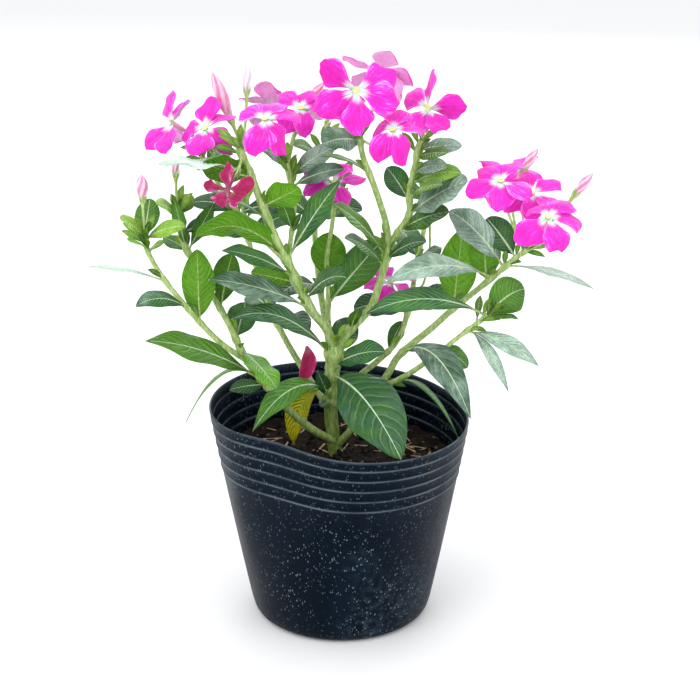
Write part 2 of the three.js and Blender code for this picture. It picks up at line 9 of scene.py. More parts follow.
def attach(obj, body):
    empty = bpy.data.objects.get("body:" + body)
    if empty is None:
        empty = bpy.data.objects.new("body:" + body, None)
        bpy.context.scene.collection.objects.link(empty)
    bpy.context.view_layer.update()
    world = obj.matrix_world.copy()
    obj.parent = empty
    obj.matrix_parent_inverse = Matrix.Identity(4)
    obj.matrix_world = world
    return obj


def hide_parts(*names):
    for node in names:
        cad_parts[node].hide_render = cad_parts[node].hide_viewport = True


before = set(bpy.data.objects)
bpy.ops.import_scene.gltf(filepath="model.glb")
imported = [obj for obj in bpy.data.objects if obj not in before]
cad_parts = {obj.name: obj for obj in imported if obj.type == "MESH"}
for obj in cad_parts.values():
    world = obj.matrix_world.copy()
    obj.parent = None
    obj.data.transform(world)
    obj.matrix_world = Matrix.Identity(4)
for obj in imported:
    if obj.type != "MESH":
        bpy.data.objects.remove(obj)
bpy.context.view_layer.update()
MM = 0.001


# The studio: a plain pale floor, large soft lights overhead, on the left and behind, and a weaker one on the
# right. The camera looks twenty degrees down on the plant, from 0.9 m in front of it.
PLANT_MIDDLE = Vector((0, 0, 0.18))
LENS = 87.2


def wire(tree, kind, inputs=(), **settings):
    """Adds a node. Each input is a number, a colour or the socket that feeds it."""
    node = tree.nodes.new(kind)
    for key, value in settings.items():
        setattr(node, key, value)
    for key, value in dict(inputs).items():
        if isinstance(value, bpy.types.NodeSocket):
            tree.links.new(value, node.inputs[key])
        else:
            node.inputs[key].default_value = value
    return node


def new_finish(name, roughness, **values):
    """A material, its tree and its Principled shader, with plain numbers set on the shader's sockets."""
    material = bpy.data.materials.new(name)
    material.use_nodes = True
    shader = material.node_tree.nodes["Principled BSDF"]
    shader.inputs["Roughness"].default_value = roughness
    for key, value in values.items():
        shader.inputs[key.replace("_", " ")].default_value = value
    return material, material.node_tree, shader


def softbox(name, place, size, power):
    """A square studio light that looks at the middle of the plant."""
    bpy.ops.object.light_add(type="AREA", location=place)
    lamp = bpy.context.object
    lamp.name = name
    aim = PLANT_MIDDLE - Vector(place)
    lamp.rotation_euler = aim.to_track_quat("-Z", "Y").to_euler()
    lamp.data.size = size
    lamp.data.energy = power


bpy.ops.object.select_all(action="DESELECT")
bpy.ops.mesh.primitive_plane_add(size=12, location=(0, 2, 0))
floor = bpy.context.object
floor.name = "floor"
floor_finish, floor_tree, floor_shader = new_finish("floor_finish", 0.85)
floor_shader.inputs["Base Color"].default_value = (0.86, 0.86, 0.865, 1)
floor.data.materials.append(floor_finish)

softbox("overhead_light", (-0.25, -0.15, 1.5), 1.5, 9)
softbox("left_light", (-1.1, -1.1, 1.0), 1.0, 8)
softbox("right_light", (1.2, -0.7, 0.8), 0.9, 4)
softbox("rear_light", (0.3, 1.5, 1.0), 1.3, 9)

world = bpy.data.worlds.new("studio")
world.use_nodes = True
sky = world.node_tree.nodes["Background"]
sky.inputs["Color"].default_value = (0.97, 0.985, 1, 1)
sky.inputs["Strength"].default_value = 1.05
bpy.context.scene.world = world
bpy.context.scene.view_settings.view_transform = "Standard"

bpy.ops.object.camera_add(location=(0.005, -0.886, 0.479), rotation=(math.radians(70), 0, 0))
camera = bpy.context.object
camera.data.lens = LENS
bpy.context.scene.camera = camera


# The pot: a soft nursery pot of thin blue-black plastic, with five fine ribs in the wall below its rim.
# Its profile is spun round the axis. The wall is then pressed oval, in at the front left and up at the left.
POT_HEIGHT = 121
LIP_LEVEL = 121.1
FOOT_RADIUS = 50.5
RIM_RADIUS = 75
RIM_LEAN = 1.5
WALL = 1.2
FLOOR = 2
RIB_HEIGHT = 0.4
RIB_LEVELS = [89.3, 95.8, 102.3, 108.8, 115.3]
RIB_STEPS = (-1.2, -0.75, -0.4, 0, 0.4, 0.75, 1.2)
POT_STEPS = 180
DRAINS = 5
DRAIN_TURN = 20
DRAIN_RING = 30
DRAIN_RADIUS = 3.5


def pot_place(angle, level, inset):
    """Where a point of the pot's wall lies, in mm."""
    share = level / POT_HEIGHT
    bent = share**2
    from_dent = np.mod(angle + math.radians(300), 2 * math.pi) - math.pi
    oval = 3 * np.cos(2 * (angle - math.radians(113)))
    dent = 9 * np.exp(-((from_dent / math.radians(24)) ** 2))
    lean = RIM_LEAN * np.cos(angle)
    radius = FOOT_RADIUS + (RIM_RADIUS - FOOT_RADIUS) * share + bent * (oval - dent - lean) - inset
    lifted = 2.2 * np.exp(-((from_dent / math.radians(34)) ** 2))
    rise = bent * (2.4 * np.cos(angle - math.radians(178)) + lifted)
    return np.column_stack((radius * np.cos(angle), radius * np.sin(angle), level + rise))


def pressed(places):
    """A spun piece's places, pressed to the pot's shape, with their angles and distances from the axis."""
    angle = np.arctan2(places[:, 1], places[:, 0])
    from_axis = np.hypot(places[:, 0], places[:, 1])
    shaped = pot_place(angle, places[:, 2], FOOT_RADIUS - from_axis)
    shaped[from_axis < 0.01, :2] = 0
    return shaped, angle, from_axis


def select_only(*pieces):
    """Selects these objects and makes the first of them active."""
    bpy.ops.object.select_all(action="DESELECT")
    for piece in pieces:
        piece.select_set(True)
    bpy.context.view_layer.objects.active = pieces[0]


def weld(piece):
    """Closes seams and poles, and turns all faces outwards."""
    select_only(piece)
    bpy.ops.object.mode_set(mode="EDIT")
    bpy.ops.mesh.select_all(action="SELECT")
    bpy.ops.mesh.remove_doubles(threshold=0.003 * MM)
    bpy.ops.mesh.normals_make_consistent(inside=False)
    bpy.ops.object.mode_set(mode="OBJECT")


def joined(name, pieces):
    """Joins pieces into one object of that name."""
    select_only(*pieces)
    if len(pieces) > 1:
        bpy.ops.object.join()
    piece = bpy.context.object
    piece.name = piece.data.name = name
    return piece


def apply_modifier(piece, kind, **settings):
    """Adds a modifier with these settings and applies it."""
    modifier = piece.modifiers.new(kind.lower(), kind)
    for key, value in settings.items():
        setattr(modifier, key, value)
    select_only(piece)
    bpy.ops.object.modifier_apply(modifier=modifier.name)


def places_of(piece):
    """The places of a mesh's vertices, in mm."""
    flat = np.empty(len(piece.data.vertices) * 3)
    piece.data.vertices.foreach_get("co", flat)
    return flat.reshape(-1, 3) / MM


def move_to(piece, places):
    """Moves a mesh's vertices to these places, in mm."""
    piece.data.vertices.foreach_set("co", (places * MM).ravel())
    piece.data.update()


def keep_values(piece, name, values):
    """Keeps a number or three for each vertex, for the material to read."""
    single = values.ndim == 1
    layer = piece.data.attributes.new(name, "FLOAT" if single else "FLOAT_VECTOR", "POINT")
    layer.data.foreach_set("value" if single else "vector", values.ravel().astype(np.float32))


def spun(name, profile, steps):
    """Spins a profile of (inset, level) points all the way round."""
    mesh = bpy.data.meshes.new(name)
    points = [((FOOT_RADIUS - inset) * MM, 0, level * MM) for inset, level in profile]
    mesh.from_pydata(points, [(k, k + 1) for k in range(len(points) - 1)], [])
    piece = bpy.data.objects.new(name, mesh)
    bpy.context.collection.objects.link(piece)
    select_only(piece)
    bpy.ops.object.mode_set(mode="EDIT")
    bpy.ops.mesh.select_all(action="SELECT")
    bpy.ops.mesh.spin(steps=steps, angle=2 * math.pi, center=(0, 0, 0), axis=(0, 0, 1))
    bpy.ops.object.mode_set(mode="OBJECT")
    weld(piece)
    return piece


def rib_rows(inset):
    """The rows of a wall that runs up through the rounded ribs."""
    rows = []
    for level in RIB_LEVELS:
        for step in RIB_STEPS:
            swell = RIB_HEIGHT * (0.5 + 0.5 * math.cos(math.pi * step / RIB_STEPS[-1]))
            rows.append((inset - swell, level + step))
    return rows


foot_rows = [(FOOT_RADIUS, 0), (30, 0), (9, 0), (6.4, 0), (4.3, 0.3), (2.3, 1), (1.1, 2.2), (0.4, 4), (0, 9)]
outer_rows = [(0, level) for level in range(16, 82, 6)] + rib_rows(0)
lip_rows = [(0, 117), (-0.1, 119.4), (-0.1, 120.4), (0.2, 120.9), (0.6, LIP_LEVEL), (1, 120.9)]
inner_rows = [(WALL, 120.4), (WALL, 117)] + rib_rows(WALL)[::-1]
base_rows = [(WALL, level) for level in range(76, 6, -10)] + [(WALL + 2.4, FLOOR), (FOOT_RADIUS, FLOOR)]
pot = spun("fine_pot", foot_rows + outer_rows + lip_rows + inner_rows + base_rows, POT_STEPS)

blank = places_of(pot)
# crest marks the rib crests and the lip edge, where the material paints a highlight.
crest = np.zeros(len(blank))
for rib_level in RIB_LEVELS:
    crest = np.maximum(crest, np.exp(-(((blank[:, 2] - rib_level) / 0.45) ** 2)))
crest = np.maximum(crest, 0.8 * np.exp(-(((blank[:, 2] - LIP_LEVEL) / 0.7) ** 2)))
keep_values(pot, "crest", crest)
move_to(pot, pressed(blank)[0])

drains = []
for turn in range(DRAINS):
    angle = math.radians(DRAIN_TURN + turn * 360 / DRAINS)
    place = (DRAIN_RING * MM * math.cos(angle), DRAIN_RING * MM * math.sin(angle), 0)
    bpy.ops.mesh.primitive_cylinder_add(vertices=24, radius=DRAIN_RADIUS * MM, depth=10 * MM, location=place)
    drains.append(bpy.context.object)
cutter = joined("drain_cutter", drains)
apply_modifier(pot, "BOOLEAN", object=cutter, operation="DIFFERENCE", solver="EXACT")
bpy.data.objects.remove(cutter)
select_only(pot)
bpy.ops.object.shade_smooth_by_angle(angle=math.radians(50))


def maths(tree, operation, *values):
    """The result of a Math node."""
    return wire(tree, "ShaderNodeMath", enumerate(values), operation=operation).outputs[0]


def times(tree, first, second):
    """The product of two values."""
    return maths(tree, "MULTIPLY", first, second)


def eased(tree, value, low, high, start=0.0, end=1.0):
    """Rises smoothly from start to end as value goes from low to high."""
    inputs = {0: value, 1: low, 2: high, 3: start, 4: end}
    return wire(tree, "ShaderNodeMapRange", inputs, interpolation_type="SMOOTHSTEP").outputs[0]


def blended(tree, factor, first, second):
    """A mix of two colours."""
    return wire(tree, "ShaderNodeMix", {0: factor, 6: first, 7: second}, data_type="RGBA").outputs[2]


def stored(tree, name):
    """The outputs that read the values kept by that name."""
    return wire(tree, "ShaderNodeAttribute", attribute_name=name).outputs


def stored_parts(tree, name):
    """The three numbers kept by that name."""
    return wire(tree, "ShaderNodeSeparateXYZ", {0: stored(tree, name)["Vector"]}).outputs


def stretched(tree, scale=(1, 1, 1)):
    """Object coordinates, scaled by three numbers."""
    place = wire(tree, "ShaderNodeTexCoord").outputs["Object"]
    return wire(tree, "ShaderNodeMapping", {"Vector": place, "Scale": scale}).outputs[0]


def cloudy(tree, vector, scale, detail=3.0, roughness=0.55):
    """Soft noise from 0 to 1."""
    inputs = {"Vector": vector, "Scale": scale, "Detail": detail, "Roughness": roughness}
    return wire(tree, "ShaderNodeTexNoise", inputs).outputs[0]


def bumped(tree, shader, height, distance):
    """Feeds a height into the shader's normal, with its depth in metres."""
    bump = wire(tree, "ShaderNodeBump", {"Height": height, "Distance": distance})
    tree.links.new(bump.outputs[0], shader.inputs["Normal"])


def new_group(name, inputs, outputs):
    """An empty node group with named inputs and outputs. All are numbers, except an input called Vector."""
    group = bpy.data.node_groups.new(name, "ShaderNodeTree")
    for label in inputs:
        kind = "NodeSocketVector" if label == "Vector" else "NodeSocketFloat"
        group.interface.new_socket(label, in_out="INPUT", socket_type=kind)
    for label in outputs:
        group.interface.new_socket(label, in_out="OUTPUT", socket_type="NodeSocketFloat")
    return group, group.nodes.new("NodeGroupInput").outputs, group.nodes.new("NodeGroupOutput").inputs


# Specks, one to a cell, over only some of the cells: dust on the pot, grit in the soil, spots on the stems
specks, given, result = new_group("specks", ["Vector", "Cells", "Size", "Share"], ["Mask"])
cells = wire(specks, "ShaderNodeTexVoronoi", {"Vector": given["Vector"], "Scale": given["Cells"]})
cell_draw = wire(specks, "ShaderNodeSeparateColor", {0: cells.outputs["Color"]})
speck_reach = times(specks, given["Size"], cell_draw.outputs[0])
speck_inside = maths(specks, "SUBTRACT", speck_reach, cells.outputs["Distance"])
speck_body = eased(specks, speck_inside, 0.0, 0.08)
speck_chosen = maths(specks, "LESS_THAN", cell_draw.outputs[1], given["Share"])
specks.links.new(times(specks, speck_body, speck_chosen), result["Mask"])


def speck_mask(tree, vector, per_metre, size, share):
    """The mask of a specks group with these values."""
    inputs = {"Vector": vector, "Cells": per_metre, "Size": size, "Share": share}
    return wire(tree, "ShaderNodeGroup", inputs, node_tree=specks).outputs["Mask"]


gleam = {"Specular_IOR_Level": 0.09, "Specular_Tint": (0.3, 0.6, 1, 1)}
pot_finish, tree, shader = new_finish("pot_plastic_finish", 0.4, **gleam)
even = stretched(tree)
film = cloudy(tree, stretched(tree, (1, 1, 0.35)), 60, 5)
uneven = eased(tree, film, 0.35, 0.75)
plastic = blended(tree, uneven, (0.0006, 0.0022, 0.0052, 1), (0.002, 0.0058, 0.012, 1))
# Painted highlight: the rib crests and the lip edge are painted pale blue-grey, broken up by noise, for the
# light they catch.
crest_here = stored(tree, "crest")["Fac"]
crest_highlight_breakup = eased(tree, cloudy(tree, even, 45, 4), 0.3, 0.65, 0.35, 0.9)
plastic = blended(tree, times(tree, crest_here, crest_highlight_breakup), plastic, (0.13, 0.165, 0.19, 1))
hazy_areas = eased(tree, cloudy(tree, even, 14, 4), 0.5, 0.72)
haze = times(tree, hazy_areas, eased(tree, cloudy(tree, even, 260, 4), 0.4, 0.7))
plastic = blended(tree, times(tree, haze, 0.45), plastic, (0.06, 0.09, 0.12, 1))
fine_dust = speck_mask(tree, stretched(tree, (1, 1, 0.6)), 900, 0.45, 0.6)
coarse_dust = speck_mask(tree, stretched(tree, (0.7, 0.7, 1)), 420, 0.26, 0.16)
dusty_areas = eased(tree, cloudy(tree, even, 26, 3), 0.36, 0.64, 0.25, 1.0)
dust = times(tree, maths(tree, "MAXIMUM", fine_dust, coarse_dust), dusty_areas)
plastic = blended(tree, times(tree, dust, 0.6), plastic, (0.2, 0.26, 0.31, 1))
tree.links.new(plastic, shader.inputs["Base Color"])
gloss = eased(tree, film, 0.3, 0.75, 0.36, 0.52)
tree.links.new(maths(tree, "ADD", gloss, times(tree, dust, 0.35)), shader.inputs["Roughness"])
bumped(tree, shader, maths(tree, "ADD", cloudy(tree, even, 320, 4), dust), 0.00012)
pot.data.materials.append(pot_finish)
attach(pot, "root")
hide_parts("pot")


# The soil: dark potting mix, mounded at the trunk, with crumbs on it and pale bits of straw pressed in.
# A spun plug that fills the pot, roughened by noise, with clods and slivers scattered over its top.
SOIL_LEVEL = 91
SOIL_EDGE = 89
SOIL_INSET = 1.8
SOIL_RINGS = 52
SOIL_STEPS = 150
SCATTER_RADIUS = 60
CLODS = 230
STRAWS = 75
NOISE_SEED = 5
DRAW_SEED = 23
noise.seed_set(NOISE_SEED)


def soil_height(x, y):
    """The level of the soil's top, in mm, without its crumbs."""
    mound = 3.5 * np.exp(-(x * x + y * y) / 900)
    lumps = np.sin(0.21 * x + 1.3) * np.cos(0.17 * y - 0.6) + 0.7 * np.sin(0.33 * x - 0.29 * y)
    return SOIL_LEVEL + mound + 1.3 * lumps


def crumbled(places, scale, depth):
    """How far rough noise lifts each place, in mm."""
    return np.array([depth * noise.turbulence(Vector(p) * scale, 3, True) for p in places])


plug_rows = [(FOOT_RADIUS, FLOOR + 0.3), (SOIL_INSET + 2.4, FLOOR + 0.3)]
plug_rows += [(SOIL_INSET, level) for level in (9, 46, 70, SOIL_EDGE)]
for ring in range(SOIL_RINGS + 1):
    inset = FOOT_RADIUS * ring / SOIL_RINGS + SOIL_INSET * (1 - ring / SOIL_RINGS)
    plug_rows.append((inset, SOIL_EDGE + 1))
soil = spun("fine_soil", plug_rows, SOIL_STEPS)
blank = places_of(soil)
shaped, soil_angle, from_axis = pressed(blank)
on_top = blank[:, 2] > SOIL_EDGE + 0.5
edge = pot_place(soil_angle, np.full(len(blank), float(SOIL_EDGE)), np.full(len(blank), SOIL_INSET))
share = (from_axis / (FOOT_RADIUS - SOIL_INSET))[:, None]
shaped[on_top, :2] = (edge[:, :2] * share)[on_top]
top = shaped[on_top]
shaped[on_top, 2] = soil_height(top[:, 0], top[:, 1]) - 0.8 + crumbled(top, 0.42, 1.7)
move_to(soil, shaped)

draw = random.Random(DRAW_SEED)


def scattered_on_soil():
    """A random place on the soil, clear of the wall, in mm."""
    angle = draw.uniform(0, 2 * math.pi)
    reach = SCATTER_RADIUS * math.sqrt(draw.random())
    x = reach * math.cos(angle)
    y = reach * math.sin(angle)
    return Vector((x, y, float(soil_height(x, y))))


def copied(template, turn, scale, place):
    """A copy of a small piece with its own mesh, turned, scaled and placed, in mm."""
    copy = template.copy()
    copy.data = template.data.copy()
    bpy.context.collection.objects.link(copy)
    copy.data.transform(Matrix.LocRotScale(place * MM, turn, scale))
    return copy


bpy.ops.mesh.primitive_ico_sphere_add(subdivisions=2, radius=MM)
clod = bpy.context.object
move_to(clod, places_of(clod) * (0.7 + crumbled(places_of(clod), 1.3, 0.7))[:, None])
bpy.ops.mesh.primitive_cylinder_add(vertices=6, radius=0.5 * MM, depth=MM)
straw = bpy.context.object
apply_modifier(straw, "BEVEL", width=0.1 * MM, segments=1)

clods = []
for _ in range(CLODS):
    size = draw.uniform(0.7, 1.7) ** 2
    turn = Vector([draw.uniform(-1, 1) for _ in range(3)]).to_track_quat("Z", "Y")
    clods.append(copied(clod, turn, Vector((size, size, size * 0.7)), scattered_on_soil()))
straws = []
for _ in range(STRAWS):
    heading = draw.uniform(0, 2 * math.pi)
    lie = Vector((math.cos(heading), math.sin(heading), draw.uniform(-0.12, 0.3)))
    width = draw.uniform(0.7, 1.5)
    stretch = Vector((width, width * 0.5, draw.uniform(4, 15)))
    place = scattered_on_soil() + Vector((0, 0, 0.6))
    straws.append(copied(straw, lie.to_track_quat("Z", "Y"), stretch, place))
bpy.data.objects.remove(clod)
bpy.data.objects.remove(straw)

soil_finish, tree, shader = new_finish("soil_finish", 0.95, Specular_IOR_Level=0.25)
even = stretched(tree)
grain = cloudy(tree, even, 420, 6, 0.7)
peat = blended(tree, eased(tree, grain, 0.35, 0.7), (0.002, 0.0011, 0.0007, 1), (0.025, 0.013, 0.008, 1))
grit = speck_mask(tree, even, 330, 0.5, 0.2)
peat = blended(tree, times(tree, grit, 0.55), peat, (0.22, 0.15, 0.1, 1))
tree.links.new(peat, shader.inputs["Base Color"])
bumped(tree, shader, grain, 0.0012)

straw_finish, tree, shader = new_finish("straw_finish", 0.8)
fibre = cloudy(tree, stretched(tree), 260, 4)
tint = blended(tree, eased(tree, fibre, 0.3, 0.7), (0.17, 0.1, 0.045, 1), (0.52, 0.38, 0.22, 1))
tree.links.new(tint, shader.inputs["Base Color"])
bumped(tree, shader, fibre, 0.0003)

for piece in [soil, *clods]:
    piece.data.materials.append(soil_finish)
for piece in straws:
    piece.data.materials.append(straw_finish)
soil = joined("fine_soil", [soil, *clods, *straws])
bpy.ops.object.shade_smooth_by_angle(angle=math.radians(40))
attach(soil, "root")
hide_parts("soil")


# The main stem: a green trunk that forks in two, and their leaves, which sit in pairs on short stalks.
# Stems are grids wrapped round a smooth line. Leaves are grids shaped along an arched midrib and thickened.
# Small fresh leaves sit round the tip of each stem and in the angles of its leaves.
GRIDS = {}
STEM_STEP = 2.2
SMALL_LEAF = 13
BROAD_LEAF = 16
LEAF_THICKNESS = 0.5
LEAF_FOLD = 0.22
VEIN_COUNT = 12
TUFT_LEAVES = 7
TUFT_LENGTH = 14
TUFT_TURN = 2.4
STALK_START = 0.97
STALK_BEND = 0.45
KNEE = 8
SEPAL_LINE = ((-1.2, 0.7), (1.2, 1.7), (4.2, 2.1))
UP = (0, 0, 1)
FRONT = (0, -1, 0.2)
BACK = (0, 1, 0.3)
UP_FRONT = (0, -0.6, 0.8)
FRONT_UP = (0, -0.85, 0.5)
UP_BACK = (0, 0.7, 0.7)
RIGHT_FRONT = (0.7, -0.6, 0.3)


def unit(vectors):
    """Vectors at length 1."""
    vectors = np.asarray(vectors, float)
    return vectors / np.linalg.norm(vectors, axis=-1, keepdims=True)


def flat_grid(rows, columns):
    """A grid to be shaped, and how far along and across it each vertex lies. One of each size is copied."""
    if (rows, columns) not in GRIDS:
        bpy.ops.mesh.primitive_grid_add(x_subdivisions=rows, y_subdivisions=columns, size=1)
        template = bpy.context.object
        GRIDS[rows, columns] = template.data
        bpy.data.objects.remove(template)
    piece = bpy.data.objects.new("grid", GRIDS[rows, columns].copy())
    bpy.context.collection.objects.link(piece)
    shares = places_of(piece) * MM + 0.5
    return piece, shares[:, 0], shares[:, 1]


def on_stem(points, place):
    """Points of the smooth line through a stem's points, at places counted in points."""
    points = np.asarray(points, float)
    before = 2 * points[0] - points[1]
    after = 2 * points[-1] - points[-2]
    line = np.vstack((before, points, after))
    place = np.clip(np.atleast_1d(place).astype(float), 0, len(points) - 1)
    start = np.minimum(place.astype(int), len(points) - 2)
    t = (place - start)[:, None]
    a, b, c, d = (line[start + k] for k in range(4))
    leave = (c - a) / 2
    arrive = (d - b) / 2
    return b + leave * t + (3 * (c - b) - 2 * leave - arrive) * t**2 + (2 * (b - c) + leave + arrive) * t**3


def bezier(start, middle, end, u):
    """Points and directions of a line that leaves start towards middle and reaches end."""
    u = np.atleast_1d(u)[:, None]
    points = (1 - u) ** 2 * start + 2 * u * (1 - u) * middle + u**2 * end
    return points, unit(2 * (1 - u) * (middle - start) + 2 * u * (end - middle))


def laid_out(middle, along, face, aside, height):
    """Places beside and above a blade's middle line, where above is the side that is turned to face."""
    normal = unit(face - along * (along @ face)[:, None])
    return middle + aside[:, None] * np.cross(along, normal) + height[:, None] * normal


def tube(centres, radii, sides, finish, ages=(0, 0), flutes=0.0, twist=0.0):
    """A closed tube round a line of centres, with its age at both ends. flutes deepens five grooves in it,
    which turn by twist."""
    tangents = unit(np.gradient(centres, axis=0))
    normal = unit(np.cross(tangents[0], (0.31, 0.9, 0.2)))
    normals = []
    for tangent in tangents:
        normal = unit(normal - tangent * np.dot(normal, tangent))
        normals.append(normal)
    normals = np.array(normals)
    binormals = np.cross(tangents, normals)
    ends = [0, *range(len(centres)), len(centres) - 1]
    closed_radii = np.concatenate(([0], radii, [0]))
    rows = len(ends) - 1
    piece, along, around = flat_grid(rows, sides)
    row = np.rint(along * rows).astype(int)
    ring = np.array(ends)[row]
    angle = around * 2 * math.pi
    groove = np.cos(5 * (angle - twist * along))
    reach = (closed_radii[row] * (1 + flutes * groove))[:, None]
    outward = np.cos(angle)[:, None] * normals[ring] + np.sin(angle)[:, None] * binormals[ring]
    move_to(piece, centres[ring] + reach * outward)
    keep_values(piece, "grown", np.column_stack((along, groove, ages[0] + (ages[1] - ages[0]) * along)))
    piece.data.materials.append(finish)
    weld(piece)
    return piece


def leaf_half_width(u, width, length):
    """Half the width of a leaf, in mm, at a share of its length. A slender leaf comes to a longer point."""
    taper = np.clip(0.3 * length / width, 0.6, 1.1)
    share = np.clip((u - 0.1) / 0.9, 0, 1)
    return np.maximum(0.3 * (1 - u), width / 2 * np.sin(math.pi * share**1.1) ** taper)


def leaf_blade(base, tip, width, lift, tone, face=UP_FRONT):
    """One leaf as a thin sheet, its upper side first, with a rounded stalk and midrib under it."""
    tip = np.asarray(tip, float)
    control = (base + tip) / 2 + np.array((0, 0, 2 * lift))
    length = np.linalg.norm(tip - base)
    small = width <= SMALL_LEAF
    rows = int(np.clip(length / 1.5, 14, 44))
    columns = 8 if small else 14
    piece, u, v = flat_grid(rows, columns)
    u = (1 - np.cos(math.pi * u)) / 2 * 0.5 + u * 0.5
    s = 1 - 2 * v
    middle, along = bezier(base, control, tip, u)
    face = unit(face)
    half = leaf_half_width(u, width, length)
    ripple = (0.06 if small else 0.12) * np.sin(15 * u + tip[0] + s) * np.abs(s) ** 1.6
    crease = LEAF_FOLD * (np.sqrt(s**2 + 0.03) - 0.17) * (0.8 if small else 1)
    curl = -0.1 * np.abs(s) ** 4
    veins = 11 * (u - 0.13 * np.abs(s) * (1 + 0.7 * np.abs(s)))
    quilt = 0.02 * np.abs(np.sin(math.pi * veins)) * (1 - np.abs(s) ** 3)
    move_to(piece, laid_out(middle, along, face, s * half, half * (ripple + crease + curl + quilt)))
    keep_values(piece, "leaf_place", np.column_stack((u, s, s * half * max(1, BROAD_LEAF / width))))
    keep_values(piece, "leaf_tone", np.full(len(u), float(tone)))
    keep_values(piece, "leaf_draw", np.full(len(u), draw.random()))
    rib_u = np.linspace(0, 0.9, 12)
    stalk_radius = min(0.95, 0.45 + width / 40)
    rib_radii = stalk_radius * (1 - 0.85 * rib_u**0.6)
    rib_line = laid_out(*bezier(base, control, tip, rib_u), face, 0 * rib_u, -0.35 * rib_radii)
    return piece, tube(rib_line, rib_radii, 6, stem_finish, (0.1, 0.1))


def thickened(name, sheets, thickness, upper, under):
    """Joins thin sheets and gives them a wall, with one material above and one below."""
    for sheet in sheets:
        sheet.data.materials.append(upper)
        sheet.data.materials.append(under)
    piece = joined(name, sheets)
    apply_modifier(piece, "SOLIDIFY", thickness=thickness * MM, offset=0, material_offset=1)
    weld(piece)
    return piece


# Midrib and side veins of a leaf, from its own place values: how far along it, the side from -1 to 1, and mm
# across, which count for more in a narrow leaf. Streak is noise drawn out along the side veins.
leaf_veins, given, result = new_group("leaf_veins", ["Count"], ["Midrib", "Veins", "Quilt", "Streak"])
leaf_axes = stored_parts(leaf_veins, "leaf_place")
leaf_own = stored(leaf_veins, "leaf_draw")["Fac"]
aside = maths(leaf_veins, "ABSOLUTE", leaf_axes[1])
off_middle = maths(leaf_veins, "ABSOLUTE", leaf_axes[2])
rib_width = eased(leaf_veins, leaf_axes[0], 0.0, 1.0, 0.85, 0.2)
midrib = maths(leaf_veins, "SUBTRACT", 1.0, maths(leaf_veins, "DIVIDE", off_middle, rib_width))
leaf_veins.links.new(eased(leaf_veins, midrib, 0.0, 0.5), result["Midrib"])
arch = times(leaf_veins, aside, maths(leaf_veins, "MULTIPLY_ADD", aside, 0.7, 1.0))
vein_phase = maths(leaf_veins, "SUBTRACT", leaf_axes[0], times(leaf_veins, arch, 0.14))
wander = cloudy(leaf_veins, stretched(leaf_veins), 120, 2)
vein_phase = maths(leaf_veins, "ADD", vein_phase, times(leaf_veins, wander, 0.06))
own_count = times(leaf_veins, given["Count"], maths(leaf_veins, "MULTIPLY_ADD", leaf_own, 0.5, 0.8))
vein_phase = times(leaf_veins, vein_phase, own_count)
vein_gap = maths(leaf_veins, "PINGPONG", vein_phase, 0.5)
vein_fade = eased(leaf_veins, aside, 0.95, 0.5)
vein_line = times(leaf_veins, eased(leaf_veins, vein_gap, 0.11, 0.02), vein_fade)
leaf_veins.links.new(vein_line, result["Veins"])
leaf_veins.links.new(eased(leaf_veins, vein_gap, 0.0, 0.45), result["Quilt"])
streak_parts = [(vein_phase, 1.7), (leaf_axes[1], 0.7), (leaf_own, 30.0)]
streak_inputs = {k: times(leaf_veins, part, scale) for k, (part, scale) in enumerate(streak_parts)}
streak_place = wire(leaf_veins, "ShaderNodeCombineXYZ", streak_inputs).outputs[0]
leaf_veins.links.new(cloudy(leaf_veins, streak_place, 1.6, 4, 0.65), result["Streak"])


def leaf_finish_of(name, roughness, fresh, young, old, painted_sheen, vein_colour, vein_weight, **values):
    """A leaf's surface, mottled and streaked, with paler veins and midrib. Its colour runs by its tone from
    fresh over young and old to a pale colour that paints the sheen of light on the leaf."""
    material, tree, shader = new_finish(name, roughness, Specular_IOR_Level=0.38, **values)
    tone = stored(tree, "leaf_tone")["Fac"]
    own_draw = stored(tree, "leaf_draw")["Fac"]
    even = stretched(tree)
    veins = wire(tree, "ShaderNodeGroup", {"Count": VEIN_COUNT}, node_tree=leaf_veins).outputs
    patches = cloudy(tree, even, 90, 4)
    clouded = maths(tree, "ADD", tone, eased(tree, patches, 0.25, 0.75, -0.2, 0.2))
    shifted = maths(tree, "ADD", clouded, eased(tree, veins["Streak"], 0.3, 0.7, -0.18, 0.18))
    colour = blended(tree, eased(tree, shifted, -0.7, 0.05), fresh, young)
    colour = blended(tree, eased(tree, shifted, 0.0, 1.15), colour, old)
    # Painted sheen: a tone above 1 turns the leaf pale, whitish on the upper side, for the light that it
    # reflects.
    colour = blended(tree, eased(tree, clouded, 0.9, 1.75), colour, painted_sheen)
    own_shade = eased(tree, own_draw, 0.0, 1.0, 0.75, 1.25)
    shade = times(tree, own_shade, eased(tree, veins["Streak"], 0.3, 0.72, 0.72, 1.3))
    grain = eased(tree, cloudy(tree, even, 700, 3), 0.3, 0.7, 0.88, 1.12)
    shaded = {0: colour, 1: times(tree, shade, grain)}
    colour = wire(tree, "ShaderNodeVectorMath", shaded, operation="MULTIPLY").outputs[0]
    own_weight = eased(tree, own_draw, 0.0, 1.0, 0.4 * vein_weight, vein_weight)
    colour = blended(tree, times(tree, veins["Veins"], own_weight), colour, vein_colour)
    colour = blended(tree, times(tree, veins["Midrib"], 0.85), colour, vein_colour)
    tree.links.new(colour, shader.inputs["Base Color"])
    rough = eased(tree, patches, 0.3, 0.7, roughness - 0.07, roughness + 0.1)
    tree.links.new(rough, shader.inputs["Roughness"])
    relief = maths(tree, "ADD", veins["Quilt"], times(tree, cloudy(tree, even, 900, 2), 0.35))
    bumped(tree, shader, relief, 0.0005)
    return material
